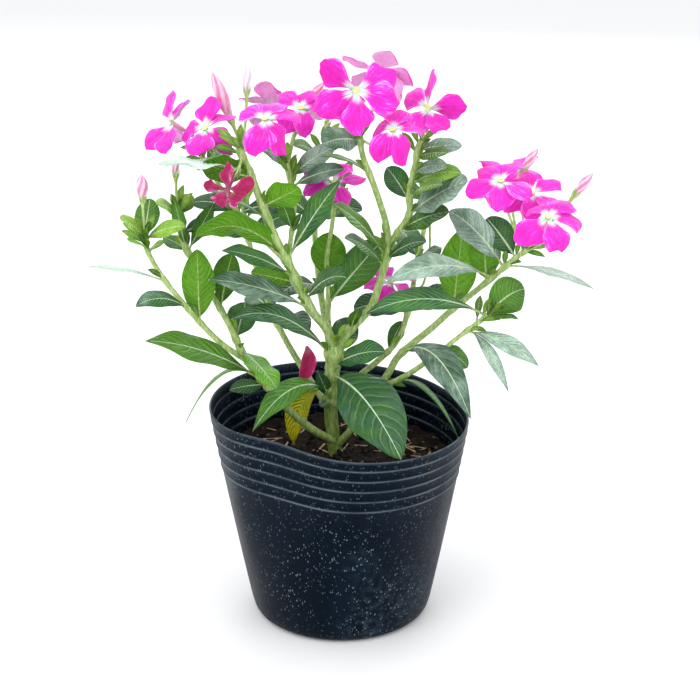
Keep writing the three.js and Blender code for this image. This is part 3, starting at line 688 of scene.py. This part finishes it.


# The fourth colour of each side is the pale colour painted for sheen on leaves with a tone above 1.
leaf_upper = leaf_finish_of(
    "leaf_upper", 0.36, (0.36, 0.64, 0.06, 1), (0.1, 0.3, 0.004, 1), (0.009, 0.088, 0.028, 1),
    (0.5, 0.7, 0.56, 1), (0.6, 0.76, 0.5, 1), 0.3, Coat_Weight=0.06, Coat_Roughness=0.25)
# The underside: brighter and yellower than the upper side, partly its own paler colour and partly painted
# light that shines through the leaf.
leaf_under = leaf_finish_of(
    "leaf_under", 0.55, (0.36, 0.62, 0.04, 1), (0.11, 0.32, 0.002, 1), (0.035, 0.15, 0.004, 1),
    (0.17, 0.33, 0.1, 1), (0.32, 0.5, 0.08, 1), 0.36)

stem_finish, tree, shader = new_finish("stem_finish", 0.45)
age = stored_parts(tree, "grown")[2]
streaks = cloudy(tree, stretched(tree, (1, 1, 0.15)), 900, 3)
bark = blended(tree, age, (0.26, 0.42, 0.08, 1), (0.05, 0.1, 0.007, 1))
pale = blended(tree, age, (0.55, 0.68, 0.3, 1), (0.2, 0.29, 0.035, 1))
colour = blended(tree, eased(tree, streaks, 0.35, 0.7), bark, pale)
spots = times(tree, speck_mask(tree, stretched(tree), 700, 0.4, 0.12), 0.5)
colour = blended(tree, spots, colour, (0.12, 0.1, 0.03, 1))
tree.links.new(colour, shader.inputs["Base Color"])
bumped(tree, shader, streaks, 0.0003)

# Every flower: its calyx, then a bloom's eye and the way it faces, or a bud's tip
FLOWERS = {
    "bloom_top_front": ((10, -14, 294), (8, -28, 308), (0, -0.85, 0.53)),
    "bloom_top_back": ((18, -3, 297), (20, 4, 312), (0.05, 0.5, 0.86)),
    "bloom_top_low": ((22, -18, 276), (27, -30, 288), (0.1, -0.5, 0.86)),
    "bloom_right": ((45, 8, 281), (46, 0, 293), (0.1, -0.8, 0.6)),
    "bloom_far_left": ((-74, 14, 270), (-90, 0, 285), (-0.75, -0.4, 0.5)),
    "bloom_left": ((-68, -3, 270), (-71, -13, 285), (-0.2, -0.5, 0.85)),
    "bloom_left_front": ((-42, -28, 282), (-38, -41, 296), (0.05, -0.45, 0.9)),
    "bloom_left_mid": ((-24, 4, 279), (-21, -4, 294), (0.1, -0.5, 0.86)),
    "bloom_centre": ((-5, 18, 238), (-4, 8, 251), (0.15, -0.35, 0.92)),
    "bloom_low_centre": ((36, 38, 176), (28, 30, 187), (0, -0.25, 0.97)),
    "bloom_right_top": ((97, 26, 242), (96, 32, 252), (0, 0.1, 1)),
    "bloom_right_left": ((87, -14, 245), (84, -22, 259), (-0.1, -0.4, 0.9)),
    "bloom_right_mid": ((101, -7, 237), (101, -16, 251), (0.1, -0.45, 0.88)),
    "bloom_right_front": ((108, -32, 232), (106, -50, 247), (0.05, -0.6, 0.79)),
    "bloom_rear_tall": ((-8, 52, 272), (-6, 62, 286), (0, 0.6, 0.8)),
    "bloom_rear_left": ((-36, 13, 278), (-39, 26, 289), (-0.05, 0.55, 0.83)),
    "bloom_wilted": ((-53, -33, 267), (-58, -42, 259), (-0.1, -0.9, -0.1)),
    "bud_left_tall": ((-58, 8, 283), (-68, 8, 310)),
    "bud_white": ((-49, -8, 302), (-49, -8, 319)),
    "bud_centre_left": ((-19, 20, 288), (-9, 18, 303)),
    "bud_far_left": ((-103, -30, 250), (-103, -30, 264)),
    "bud_left_small": ((-87, -14, 259), (-87, -14, 270)),
    "bud_right_up": ((98, 9, 256), (106, 7, 269)),
    "bud_right_out": ((124, -12, 248), (133, -14, 261)),
}


def flower_way(name):
    """A flower's calyx, and where its tube or bud heads from there: behind a bloom's eye, or a bud's tip."""
    calyx, end, *facing = FLOWERS[name]
    for way in facing:
        end = end - KNEE * unit(way)
    return np.asarray(calyx, float), np.asarray(end, float)


def young_leaves(points, leaves):
    """The small fresh leaves of a stem: a tuft round its tip, and one in the angle of each leaf."""
    last = len(points) - 1
    rows = []
    for k in range(TUFT_LEAVES):
        place = last - 0.08 * k
        base = on_stem(points, place)[0]
        along = unit(base - on_stem(points, place - 0.2)[0])
        angle = TUFT_TURN * k + len(leaves)
        out = math.cos(angle) * unit(np.cross(along, FRONT)) + math.sin(angle) * unit(np.array(FRONT))
        size = TUFT_LENGTH * draw.uniform(0.75, 1.2)
        tip = base + size * unit(out * (0.5 + 0.1 * k) + along)
        rows.append((place, tip, 0.27 * size, 0.1 * size, 0.12 * k - 0.9))
    for place, leaf_tip, *_ in leaves:
        base = on_stem(points, place)[0]
        along = unit(on_stem(points, place + 0.1)[0] - on_stem(points, place - 0.1)[0])
        out = unit(unit(np.asarray(leaf_tip, float) - base) + 1.2 * along + np.array((0, -0.3, 0)))
        size = TUFT_LENGTH * draw.uniform(0.6, 0.9)
        rows.append((place, base + size * out, 0.3 * size, 0.1 * size, draw.uniform(-0.6, 0.2)))
    return rows


def stem_and_leaves(points, radii, ages, leaves, flowers=(), sides=12):
    """The tubes and the leaf sheets of one stem, which swells a little where its leaves leave it."""
    leaves = leaves + young_leaves(points, leaves)
    last = len(points) - 1
    rough_length = np.linalg.norm(np.diff(np.asarray(points, float), axis=0), axis=1).sum()
    steps = int(rough_length / STEM_STEP)
    places = np.linspace(0, last, steps + 1)
    share = places / last
    thickness = np.interp(share, np.linspace(0, 1, len(radii)), radii)
    for leaf in leaves:
        thickness = thickness * (1 + 0.13 * np.exp(-(((places - leaf[0]) * rough_length / last / 1.8) ** 2)))
    tubes = [tube(on_stem(points, places), thickness, sides, stem_finish, ages)]
    sheets = []
    for place, *shape in leaves:
        sheet, rib = leaf_blade(on_stem(points, place)[0], *shape)
        sheets.append(sheet)
        tubes.append(rib)
    for flower in flowers:
        tubes += flower_stalk(points, flower)
    return tubes, sheets


def flower_stalk(points, flower):
    """A flower's stalk from near the end of its stem, with five narrow sepals round the flower's foot."""
    start = on_stem(points, STALK_START * (len(points) - 1))[0]
    end, target = flower_way(flower)
    way = unit(target - end)
    middle = end - way * STALK_BEND * np.linalg.norm(end - start)
    share = np.linspace(0, 1, 9)
    line, _ = bezier(start, middle, end, share)
    tubes = [tube(line, np.interp(share, (0, 0.8, 1), (0.75, 0.75, 1.35)), 8, stem_finish)]
    aside = unit(np.cross(way, (0.2, 0.3, 0.9)))
    beside = np.cross(way, aside)
    for turn in range(5):
        angle = 2 * math.pi * turn / 5
        out = math.cos(angle) * aside + math.sin(angle) * beside
        sepal = np.array([end + up * way + off * out for up, off in SEPAL_LINE])
        tubes.append(tube(sepal, np.array([0.6, 0.55, 0.12]), 5, stem_finish))
    return tubes


def leafy_piece(name, *stems):
    """Joins stems, leaves and flower stalks into the piece that stands for one leafy stem."""
    tubes = []
    sheets = []
    for stem in stems:
        more_tubes, more_sheets = stem_and_leaves(*stem)
        tubes += more_tubes
        sheets += more_sheets
    blades = thickened(name + "_leaves", sheets, LEAF_THICKNESS, leaf_upper, leaf_under)
    piece = joined("fine_" + name, [*tubes, blades])
    bpy.ops.object.shade_smooth_by_angle(angle=math.radians(60))
    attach(piece, "root")
    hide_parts(name)


# Each stem: the points it runs through, its radii, its age at foot and tip, its leaves and its flowers.
# Each leaf: its place along the stem in points, its tip, width, lift of the midrib and tone, and where its
# upper side faces if that isn't UP_FRONT. A tone below 0 is fresh, 0 young, 1 old, and above 1 pale with
# painted sheen.
trunk = (
    [[-2, 0, 80], [-3, 0, 92], [-5, 1, 108], [-6, 2, 126], [-5, 1, 143], [-3, 0, 160]],
    [4, 3.8, 3.6], (1.0, 0.25),
    [
        (3.3, (-48, -35, 122), 15, 13, 0.45),
        (3.9, (32, -66, 119), 32, 9, 0.85, FRONT_UP),
        (4.2, (24, -16, 161), 16, 3, 0.9),
        (4.7, (6, 26, 166), 16, 0, 0.8, FRONT),
        (3.0, (-13, -8, 147), 8, 0, 0.9, FRONT),
        (2.9, (-11, -12, 127), 7, 1, 0.9),
        (4.5, (-57, -48, 191), 16, 12, 0.9),
    ],
    [], 20,
)
tall_left = (
    [[-3, 0, 154], [-8, -3, 170], [-17, -8, 184], [-28, -15, 211], [-36, -18, 230], [-44, -20, 253],
     [-48, -21, 265], [-53, -22, 276]],
    [2.6, 2.2, 1.7], (0.25, 0.0),
    [
        (2.0, (-68, -52, 214), 18, 3, 1.15),
        (2.7, (-61, -50, 229), 14, 3, 0.75),
        (3.2, (-76, -24, 229), 24, 11, 0.3, UP_BACK),
        (3.1, (0, -30, 261), 16, 2, 0.7),
        (4.3, (-70, -26, 255), 13, 2, 0.45, UP),
        (4.6, (-21, -34, 258), 17, 0, 0.2, BACK),
        (5.9, (-92, -46, 273), 24, 2, 1.5, UP),
        (5.6, (-71, -32, 271), 17, -1, 0.2, BACK),
        (2.6, (-49, -4, 203), 13, 0, 0.1, BACK),
        (2.2, (3, -30, 208), 16, 5, 0.7),
    ],
    ["bloom_left_front", "bloom_wilted", "bud_left_tall", "bud_white"],
)
tall_right = (
    [[-3, 0, 154], [4, 3, 166], [16, 8, 178], [21, 10, 191], [24, 10, 202], [26, 10, 213]],
    [2.4, 2.1, 1.9], (0.25, 0.1),
    [
        (1.1, (10, -6, 183), 8, 1, 0.5, UP),
        (4.3, (46, -10, 222), 13, 3, 0.9),
        (4.5, (-5, -24, 247), 14, 4, 0.1),
        (4.0, (2, -16, 226), 13, 3, 0.6),
    ],
)
leafy_piece("main_stem", trunk, tall_left, tall_right)


# The shoots of the crown: they leave the fork and carry the upper blooms, with narrower and fresher leaves.
# Each is made as the main stem is, and starts at the stem that carries it.
leafy_piece("top_centre_shoot", (
    [[26, 10, 211], [25, 6, 226], [19, -3, 248], [12, -8, 268], [10, -10, 280]],
    [1.9, 1.4], (0.1, 0.0),
    [
        (3.7, (-9, -26, 279), 18, 2, 1.1),
        (2.5, (-10, -6, 268), 9, 3, 0.4, UP),
    ],
    ["bloom_top_front", "bloom_top_back", "bloom_top_low"],
))
leafy_piece("right_shoot", (
    [[26, 10, 211], [30, 9, 220], [37, 5, 233], [37, 3, 246], [39, 2, 257], [43, 2, 275]],
    [1.9, 1.4], (0.1, 0.0),
    [
        (1.2, (58, -8, 238), 16, 2, 0.5),
        (2.0, (67, -16, 257), 22, 2, 1.35),
        (3.4, (64, -8, 259), 13, 3, -0.3),
        (2.8, (53, -24, 257), 12, 2, -0.25),
        (2.6, (25, 10, 258), 13, 1, 0.9, FRONT),
        (4.0, (56, -10, 263), 11, 2, 1.5),
        (4.5, (56, -16, 272), 12, 1, 0.2),
        (4.7, (65, 6, 271), 11, 1, 1.4),
    ],
    ["bloom_right"],
))
leafy_piece("centre_shoot", (
    [[-3, 0, 152], [-7, 8, 170], [-7, 14, 189], [-8, 18, 203], [-5, 22, 222], [-4, 24, 232]],
    [1.6, 1.1], (0.3, 0.0),
    [
        (2.2, (-7, 22, 218), 20, 0, 0.35, BACK),
        (1.5, (24, 24, 214), 20, 1, 0.55, FRONT),
        (5.0, (-21, 18, 259), 13, 3, 0.35),
        (5.0, (6, 34, 256), 10, 3, 0.3, UP),
    ],
    ["bloom_centre"],
))
leafy_piece("centre_left_shoot", (
    [[-28, -15, 212], [-27, -8, 222], [-26, -4, 230], [-25, 1, 242], [-29, 4, 262]],
    [1.4, 1], (0.1, 0.0),
    [
        (1.5, (-15, -14, 236), 8, 1, 0.15, UP),
        (1.7, (-31, -14, 245), 9, 1, 0.4, FRONT),
        (3.6, (-3, 6, 270), 13, 2, 1.4),
        (3.4, (2, -14, 263), 13, 2, 1.2),
        (3.9, (-42, -8, 272), 11, 2, 1.3),
    ],
    ["bloom_left_mid", "bloom_rear_left", "bud_centre_left"],
))


# The lower left shoots: they rise from the trunk over the pot's edge, and each ends in a tuft and a bud.
# They are made as the main stem is, and the far left one leaves the other half way up.
leafy_piece("low_left_shoot", (
    [[-4, -1, 102], [-16, -8, 112], [-28, -13, 125], [-38, -17, 139], [-51, -26, 160], [-60, -24, 180],
     [-70, -20, 197], [-84, -15, 223], [-87, -14, 241]],
    [2.4, 2, 1.1], (0.5, 0.0),
    [
        (3.4, (-99, -76, 189), 20, 5, 0.3),
        (4.3, (-34, -50, 153), 18, 2, 0.25, RIGHT_FRONT),
        (5.5, (-59, -2, 213), 15, 2, 0.5, BACK),
        (7.8, (-96, -26, 247), 10, 2, -0.4),
        (7.8, (-79, -8, 247), 10, 1, -0.4),
        (6.9, (-87, -26, 251), 7, 0, 0.2, FRONT),
        (6.8, (-68, -4, 242), 9, 0, 0.35, FRONT),
        (6.8, (-96, -2, 222), 9, 1, 0.5),
        (7.2, (-65, 4, 229), 11, 2, 0.9),
        (3.2, (-60, -32, 145), 10, 1, 0.9),
        (4.6, (-52, -8, 187), 16, 0, 0.75, FRONT),
        (3.1, (-86, -18, 120), 6, 20, 0.05, UP),
    ],
    ["bud_left_small"],
))
leafy_piece("far_left_shoot", (
    [[-51, -26, 160], [-64, -32, 172], [-76, -36, 187], [-91, -37, 207], [-100, -33, 221], [-103, -30, 230]],
    [1.7, 1.1], (0.2, 0.0),
    [
        (3.1, (-130, -56, 222), 9, 2, 1.7, UP),
        (2.3, (-105, -60, 202), 12, 5, 1.0),
        (1.9, (-76, -24, 222), 18, -2, 0.3, BACK),
        (4.9, (-113, -44, 244), 11, 2, -0.45),
        (4.9, (-80, -40, 239), 11, 2, -0.35),
        (4.4, (-108, -50, 234), 10, 1, -0.3),
        (4.2, (-92, -46, 231), 9, 1, -0.25),
        (5.0, (-101, -14, 247), 13, 0, 0.25, FRONT),
    ],
    ["bud_far_left"],
))


# The lower right shoots: the longest of the plant, which hold the right-hand blooms well clear of the crown.
# They are made as the main stem is. The outer one leaves the other low down, and carries leaves alone.
leafy_piece("low_right_shoot", (
    [[-3, 0, 98], [8, -8, 115], [16, -9, 130], [26, -5, 144], [33, 0, 154], [51, 8, 167], [62, 7, 178],
     [80, 3, 195], [94, -3, 210], [101, -7, 217]],
    [2.2, 1.9, 1.3], (0.5, 0.0),
    [
        (4.1, (70, -42, 132), 18, 16, 1.2),
        (6.0, (68, 32, 217), 22, -3, 0.25, BACK),
        (7.0, (79, 18, 219), 18, 0, 0.4, BACK),
        (7.2, (24, -36, 207), 16, 8, 1.35),
        (7.7, (134, -30, 202), 11, 3, 1.7, UP),
        (7.6, (59, 8, 234), 19, 4, 1.35),
        (8.1, (80, 12, 229), 16, 1, 0.8, FRONT),
    ],
    ["bloom_right_top", "bloom_right_left", "bloom_right_mid", "bloom_right_front", "bud_right_up",
     "bud_right_out"],
))
leafy_piece("low_right_outer_shoot", (
    [[22, -8, 137], [36, -12, 146], [50, -14, 157], [67, -13, 171], [80, -10, 180]],
    [1.7, 1.1], (0.3, 0.0),
    [
        (0.3, (65, -20, 112), 6, 14, 0.6, UP),
        (2.2, (70, -10, 150), 13, 3, 0.3),
        (3.2, (90, -40, 147), 7, 5, 1.4),
        (3.1, (106, -38, 161), 11, 4, 1.5),
        (4.0, (13, -40, 191), 16, 9, 0.85),
        (4.0, (100, -6, 194), 21, 3, 0.3, FRONT_UP),
        (4.0, (96, -28, 191), 9, 1, 0.2, UP),
        (4.0, (94, -36, 187), 8, 1, 0.2, UP),
    ],
))


# The shoots at the back, which the front hides. They are made as the main stem is, and carry their leaves in
# pairs, every pair a quarter turn from the last.
def paired_leaves(points, places, start, length, width):
    """Opposite leaves, shorter and steeper towards the tip."""
    leaves = []
    for k, place in enumerate(places):
        base = on_stem(points, place)[0]
        for half in (0, 180):
            angle = math.radians(start + 90 * k + half)
            size = length * (1 - 0.14 * k)
            reach = size * unit((math.cos(angle), math.sin(angle), 0.15 + 0.2 * k))
            leaves.append((place, base + reach, width * (1 - 0.12 * k), 0.12 * size, 0.95 - 0.15 * k))
    return leaves


low_back_right = [[-5, 2, 126], [6, 12, 133], [22, 22, 143], [32, 26, 153], [38, 32, 168], [43, 44, 190],
                  [48, 54, 214], [50, 58, 234]]
leafy_piece("low_back_right_shoot", (
    low_back_right, [1.9, 1.3], (0.3, 0.0),
    [(2.4, (35, 30, 163), 9, 1, 0.5, FRONT), *paired_leaves(low_back_right, (4, 5.2, 6.6), 20, 33, 17)],
    ["bloom_low_centre"],
))
left_back = [[-29, -14, 212], [-40, -2, 219], [-52, 12, 226], [-62, 18, 238], [-70, 18, 252], [-76, 14, 264]]
leafy_piece("left_back_shoot", (
    left_back, [1.6, 1.1], (0.1, 0.0), paired_leaves(left_back, (2.4, 4), 165, 28, 12),
    ["bloom_far_left", "bloom_left"],
))
back_tall = [[-5, 1, 138], [-7, 15, 156], [-12, 32, 182], [-15, 44, 212], [-13, 49, 240], [-9, 50, 262]]
leafy_piece("back_tall_shoot", (
    back_tall, [2.1, 1.3], (0.3, 0.0), paired_leaves(back_tall, (2, 3.2, 4.5), 55, 40, 17),
    ["bloom_rear_tall"],
))
back_left = [[-5, 1, 118], [-17, 14, 132], [-34, 30, 156], [-46, 42, 182], [-53, 48, 206], [-56, 50, 226]]
leafy_piece("back_left_shoot", (
    back_left, [2.1, 1.2], (0.3, 0.0), paired_leaves(back_left, (2.2, 4), 120, 38, 16),
))


# The blooms: five broad magenta petals on a slender tube, with a white star and a yellow-green throat.
# Each petal is a grid shaped along its own arched middle line, and slightly crumpled. The five are thickened
# together, and joined to the tube.
PETAL_THICKNESS = 0.45
PETAL_ROOT = 1.5
PETAL_SINK = 0.9
PETAL_TILT = 9
PETAL_CREASE = 0.035
CRUMPLE_SCALE = 0.16


def petal_finish_of(name, roughness, deep, light, star_weight):
    """A petal's surface: deep at the middle, lighter to the edge, streaked, and white towards the throat."""
    values = {"Sheen_Weight": 0.15, "Sheen_Roughness": 0.4, "Specular_IOR_Level": 0.3}
    material, tree, shader = new_finish(name, roughness, **values)
    along, aside, mood = stored_parts(tree, "petal_place")
    fan_parts = {0: times(tree, along, 0.6), 1: times(tree, aside, 3.0), 2: mood}
    streaks = cloudy(tree, wire(tree, "ShaderNodeCombineXYZ", fan_parts).outputs[0], 6, 5, 0.62)
    patches = cloudy(tree, stretched(tree), 110, 4)
    aside_far = maths(tree, "ABSOLUTE", aside)
    rim = eased(tree, aside_far, 0.5, 1.05, 0.0, 0.45)
    lightness = maths(tree, "ADD", rim, eased(tree, streaks, 0.3, 0.72, -0.2, 0.75))
    lightness = maths(tree, "ADD", lightness, eased(tree, patches, 0.3, 0.7, -0.15, 0.25))
    lightness = maths(tree, "ADD", lightness, times(tree, mood, 0.3))
    colour = blended(tree, lightness, deep, light)
    colour = blended(tree, eased(tree, lightness, 0.8, 1.4), colour, (0.98, 0.4, 0.86, 1))
    colour = blended(tree, eased(tree, patches, 0.56, 0.74, 0.0, 0.5), colour, (0.4, 0.001, 0.17, 1))
    reach = maths(tree, "ADD", along, times(tree, aside_far, 0.1))
    reach = maths(tree, "SUBTRACT", reach, eased(tree, streaks, 0.3, 0.7, 0.0, 0.14))
    star = times(tree, eased(tree, reach, 0.27, 0.1), star_weight)
    colour = blended(tree, star, colour, (0.72, 0.84, 0.82, 1))
    tree.links.new(colour, shader.inputs["Base Color"])
    bumped(tree, shader, maths(tree, "ADD", streaks, times(tree, patches, 0.5)), 0.0004)
    return material


petal_upper = petal_finish_of("petal_upper", 0.5, (0.7, 0.001, 0.37, 1), (0.92, 0.025, 0.66, 1), 1.0)
# The undersides' light pink, near white, is partly their own paler colour and partly painted light that
# shines through the petals.
petal_under = petal_finish_of("petal_under", 0.6, (0.97, 0.36, 0.84, 1), (1, 0.64, 0.94, 1), 0.4)

tube_finish, tree, shader = new_finish("flower_tube_finish", 0.5)
along_tube = stored_parts(tree, "grown")[0]
colour = blended(tree, eased(tree, along_tube, 0.1, 0.7), (0.3, 0.42, 0.16, 1), (0.75, 0.45, 0.55, 1))
colour = blended(tree, eased(tree, along_tube, 0.76, 0.84), colour, (0.72, 0.78, 0.3, 1))
tree.links.new(colour, shader.inputs["Base Color"])
bumped(tree, shader, cloudy(tree, stretched(tree, (1, 1, 0.3)), 900, 2), 0.0002)


def petal_half_width(u, radius):
    """Half the width of a petal, in mm, at a share of its length."""
    return radius * (0.045 + 0.34 * np.sin(math.pi * 0.8 * u**1.5))


def petal_sheet(centre, axis, way, droop, twist, radius, crumple):
    """One petal as a thin sheet, its upper side first, with a rounded end that comes to a small point."""
    drooped = math.radians(droop)
    side = np.cross(axis, way)
    base = centre + PETAL_ROOT * way - PETAL_SINK * axis
    tip = centre + radius * (math.cos(drooped) * way - math.sin(drooped) * axis)
    control = (base + tip) / 2 + 2 * axis * (1.2 + 0.06 * droop)
    piece, u, v = flat_grid(18, 14)
    s = 1 - 2 * v
    run = u * (1 - 0.15 * s**2 + 0.07 * s * u) + 0.03 * u**6 * np.exp(-((s / 0.16) ** 2))
    middle, along = bezier(base, control, tip, run)
    tilt = math.radians(PETAL_TILT + twist)
    face = math.cos(tilt) * axis + math.sin(tilt) * side
    phase = draw.uniform(0, 6)
    curl = draw.uniform(-0.15, 0.03)
    ruffle = 0.045 * np.sin(9 * u + 4 * s + phase) * np.abs(s) ** 1.5 * u
    crease = PETAL_CREASE * np.exp(-((s / 0.12) ** 2)) * (1 - 0.6 * u)
    height = radius * (curl * s**2 * u + ruffle - crease - 0.05 * u**5)
    places = laid_out(middle, along, face, s * petal_half_width(u, radius), height)
    shift = [noise.noise_vector(Vector(p) * CRUMPLE_SCALE + Vector((phase, 0, 0))) for p in places]
    places = places + crumple * np.array(shift) * u[:, None]
    move_to(piece, places)
    keep_values(piece, "petal_place", np.column_stack((u, s, np.full(len(u), draw.random()))))
    return piece


def bloom(name, radius, petals, crumple=1.3, finishes=(petal_upper, petal_under, tube_finish)):
    """A bloom of five petals. Each petal is its turn from the top, its droop and any twist, in degrees."""
    _, eye, facing = FLOWERS[name]
    axis = unit(facing)
    centre = np.asarray(eye, float)
    upward = unit(np.array((0, 0, 1)) - axis * axis[2])
    sheets = []
    for turn, droop, *twist in petals:
        angle = math.radians(turn)
        way = math.cos(angle) * upward + math.sin(angle) * np.cross(axis, upward)
        sheet = petal_sheet(centre, axis, way, droop + draw.uniform(-4, 4), sum(twist), radius, crumple)
        sheets.append(sheet)
    upper, under, neck_finish = finishes
    blades = thickened(name + "_petals", sheets, PETAL_THICKNESS, upper, under)
    calyx, knee = flower_way(name)
    share = np.linspace(0, 1, 12)
    line, _ = bezier(calyx + 0.45 * unit(knee - calyx), knee, centre, share)
    radii = np.interp(share, (0, 0.55, 0.9, 1), (0.9, 1.1, 1.5, 1.8))
    pit = centre - 1.6 * axis
    neck = tube(np.vstack((line, pit)), np.append(radii, 0.7), 10, neck_finish)
    piece = joined("fine_" + name, [neck, blades])
    bpy.ops.object.shade_smooth_by_angle(angle=math.radians(60))
    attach(piece, "root")
    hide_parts(name)


def evenly(droop):
    """Five petals a fifth of a turn apart, all with this droop."""
    return [(72 * step, droop) for step in range(5)]


bloom("bloom_top_front", 23, [(59, -12, 42), (124, 10, 14), (185, 5, 4), (253, 4, -20), (297, 4, -12)])
bloom("bloom_top_back", 20, [(22, -10), (101, 19), (119, 52), (238, 25), (287, -21)])
bloom("bloom_top_low", 19, [(41, 48), (142, 45), (203, 39), (288, 17), (340, 8)])
bloom("bloom_right", 20, [(41, 34), (147, -19), (201, -30), (264, -9, -62), (351, -7, 68)])
bloom("bloom_far_left", 20, [(44, 29), (48, -5), (118, 56), (160, -14), (222, -8)])
bloom("bloom_left", 20, [(13, -11), (88, 32), (192, -2), (255, 41), (341, 22)])
bloom("bloom_left_front", 21, [(37, 15), (163, 22), (222, 39), (295, 17), (341, 16)])
bloom("bloom_left_mid", 17, [(35, 15), (141, 23), (187, 31), (274, 21), (331, 4)])
bloom("bloom_centre", 18, [(57, -11, 70), (88, 30), (195, 20), (251, -13), (318, -4)])
bloom("bloom_low_centre", 16, [(20, 1), (92, 13), (164, 25), (236, 19), (308, 5)])
bloom("bloom_right_top", 19, [(80, 20), (143, -18), (263, -19), (268, 17), (357, 23)])
bloom("bloom_right_left", 20, [(46, 9), (122, 6), (186, 7), (242, 5), (349, 8)])
bloom("bloom_right_mid", 18, [(2, 3), (114, 17), (172, 18), (215, -10), (296, 1)])
bloom("bloom_right_front", 21, [(16, 41), (129, 18), (195, 8), (277, 25), (319, 16)])
bloom("bloom_rear_tall", 21, evenly(15))
bloom("bloom_rear_left", 19, [(45, 3), (142, 11), (207, 12), (309, 2), (356, -24)])


# A wilted crimson bloom under the left cluster, a dry petal caught between the stems, and a yellow leaf that
# hangs from the trunk. The bloom is made as the others are, but smaller and crumpled. The petal and the leaf
# are one grid each, folded along the middle and thickened.
wilted_upper = petal_finish_of("wilted_upper", 0.6, (0.3, 0.002, 0.05, 1), (0.55, 0.02, 0.17, 1), 0.1)
wilted_under = petal_finish_of("wilted_under", 0.65, (0.32, 0.004, 0.08, 1), (0.8, 0.25, 0.45, 1), 0.1)
bloom("bloom_wilted", 12, evenly(10), 6, (wilted_upper, wilted_under, wilted_upper))


def hanging_blade(name, base, tip, bow, face, half_width, fold, upper, under):
    """A loose leaf or petal that hangs, folded along its middle line."""
    base = np.asarray(base, float)
    tip = np.asarray(tip, float)
    control = (base + tip) / 2 + 2 * np.asarray(bow, float)
    piece, u, v = flat_grid(30, 12)
    s = 1 - 2 * v
    middle, along = bezier(base, control, tip, u)
    half = half_width(u)
    height = half * (fold * (np.sqrt(s**2 + 0.02) - 0.14) + 0.14 * np.sin(11 * u + 2 * s) * s**2)
    move_to(piece, laid_out(middle, along, unit(face), s * half, height))
    keep_values(piece, "leaf_place", np.column_stack((u, s, s * half)))
    keep_values(piece, "petal_place", np.column_stack((u, s, np.full(len(u), 0.3))))
    keep_values(piece, "leaf_tone", u * 0.6)
    keep_values(piece, "leaf_draw", np.full(len(u), 0.6))
    piece = thickened("fine_" + name, [piece], LEAF_THICKNESS, upper, under)
    bpy.ops.object.shade_smooth_by_angle(angle=math.radians(60))
    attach(piece, "root")
    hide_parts(name)


hanging_blade("dry_petal", (-19, -3, 160), (-22, -5, 141), (2, 0, 0), (0.3, -1, 0),
              lambda u: 0.6 + 4 * np.sin(math.pi * 0.9 * u), 0.5, wilted_upper, wilted_under)
yellow_upper = leaf_finish_of(
    "yellow_leaf_finish", 0.5, (0.3, 0.42, 0.01, 1), (0.45, 0.46, 0.004, 1), (0.72, 0.62, 0.01, 1),
    (0.6, 0.5, 0.1, 1), (0.45, 0.5, 0.05, 1), 0.4)
hanging_blade("yellow_leaf", (-9.4, 1, 134), (-27, 0, 100), (-5, 0, 5), (-0.3, -1, 0.3),
              lambda u: leaf_half_width(u, 13, 38), 0.3, yellow_upper, yellow_upper)


# The buds: petals furled in a twist to a point, pink with paler folds, and one that is nearly white.
# Each is a tube with five grooves that turn as they rise, and sits on a stalk of the stem that carries it.
def bud_finish_of(name, fold_colour, ridge_colour, foot_colour):
    """A furled bud's surface, paler in its folds and green at the foot."""
    material, tree, shader = new_finish(name, 0.5, Sheen_Weight=0.15)
    along, groove, _ = stored_parts(tree, "grown")
    streaks = cloudy(tree, stretched(tree, (1, 1, 0.25)), 500, 3)
    mixed = maths(tree, "ADD", eased(tree, groove, -0.7, 0.8), eased(tree, streaks, 0.3, 0.7, -0.3, 0.3))
    colour = blended(tree, mixed, fold_colour, ridge_colour)
    colour = blended(tree, eased(tree, along, 0.3, 0.08), colour, foot_colour)
    tree.links.new(colour, shader.inputs["Base Color"])
    bumped(tree, shader, streaks, 0.0003)
    return material


pink_bud = bud_finish_of("pink_bud_finish", (0.72, 0.2, 0.42, 1), (0.9, 0.62, 0.74, 1), (0.5, 0.52, 0.3, 1))
white_bud = bud_finish_of("white_bud_finish", (0.7, 0.6, 0.7, 1), (0.88, 0.86, 0.9, 1), (0.66, 0.68, 0.5, 1))


def bud(name, thickest, finish=pink_bud):
    """A furled bud from its calyx to its tip."""
    calyx, tip = flower_way(name)
    start = calyx + 0.3 * unit(tip - calyx)
    share = np.linspace(0, 1, 30)
    line = start + share[:, None] * (tip - start)
    outline = np.interp(share, (0, 0.12, 0.3, 0.5, 0.7, 0.88, 1), (0.38, 0.5, 0.8, 1, 0.88, 0.5, 0.12))
    piece = tube(line, outline * thickest, 20, finish, flutes=0.1, twist=1.8)
    piece.name = piece.data.name = "fine_" + name
    select_only(piece)
    bpy.ops.object.shade_smooth_by_angle(angle=math.radians(70))
    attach(piece, "root")
    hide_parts(name)


bud("bud_left_tall", 3.6)
bud("bud_white", 2.6, white_bud)
bud("bud_centre_left", 3)
bud("bud_far_left", 3.2)
bud("bud_left_small", 2)
bud("bud_right_up", 2.6)
bud("bud_right_out", 2.6)
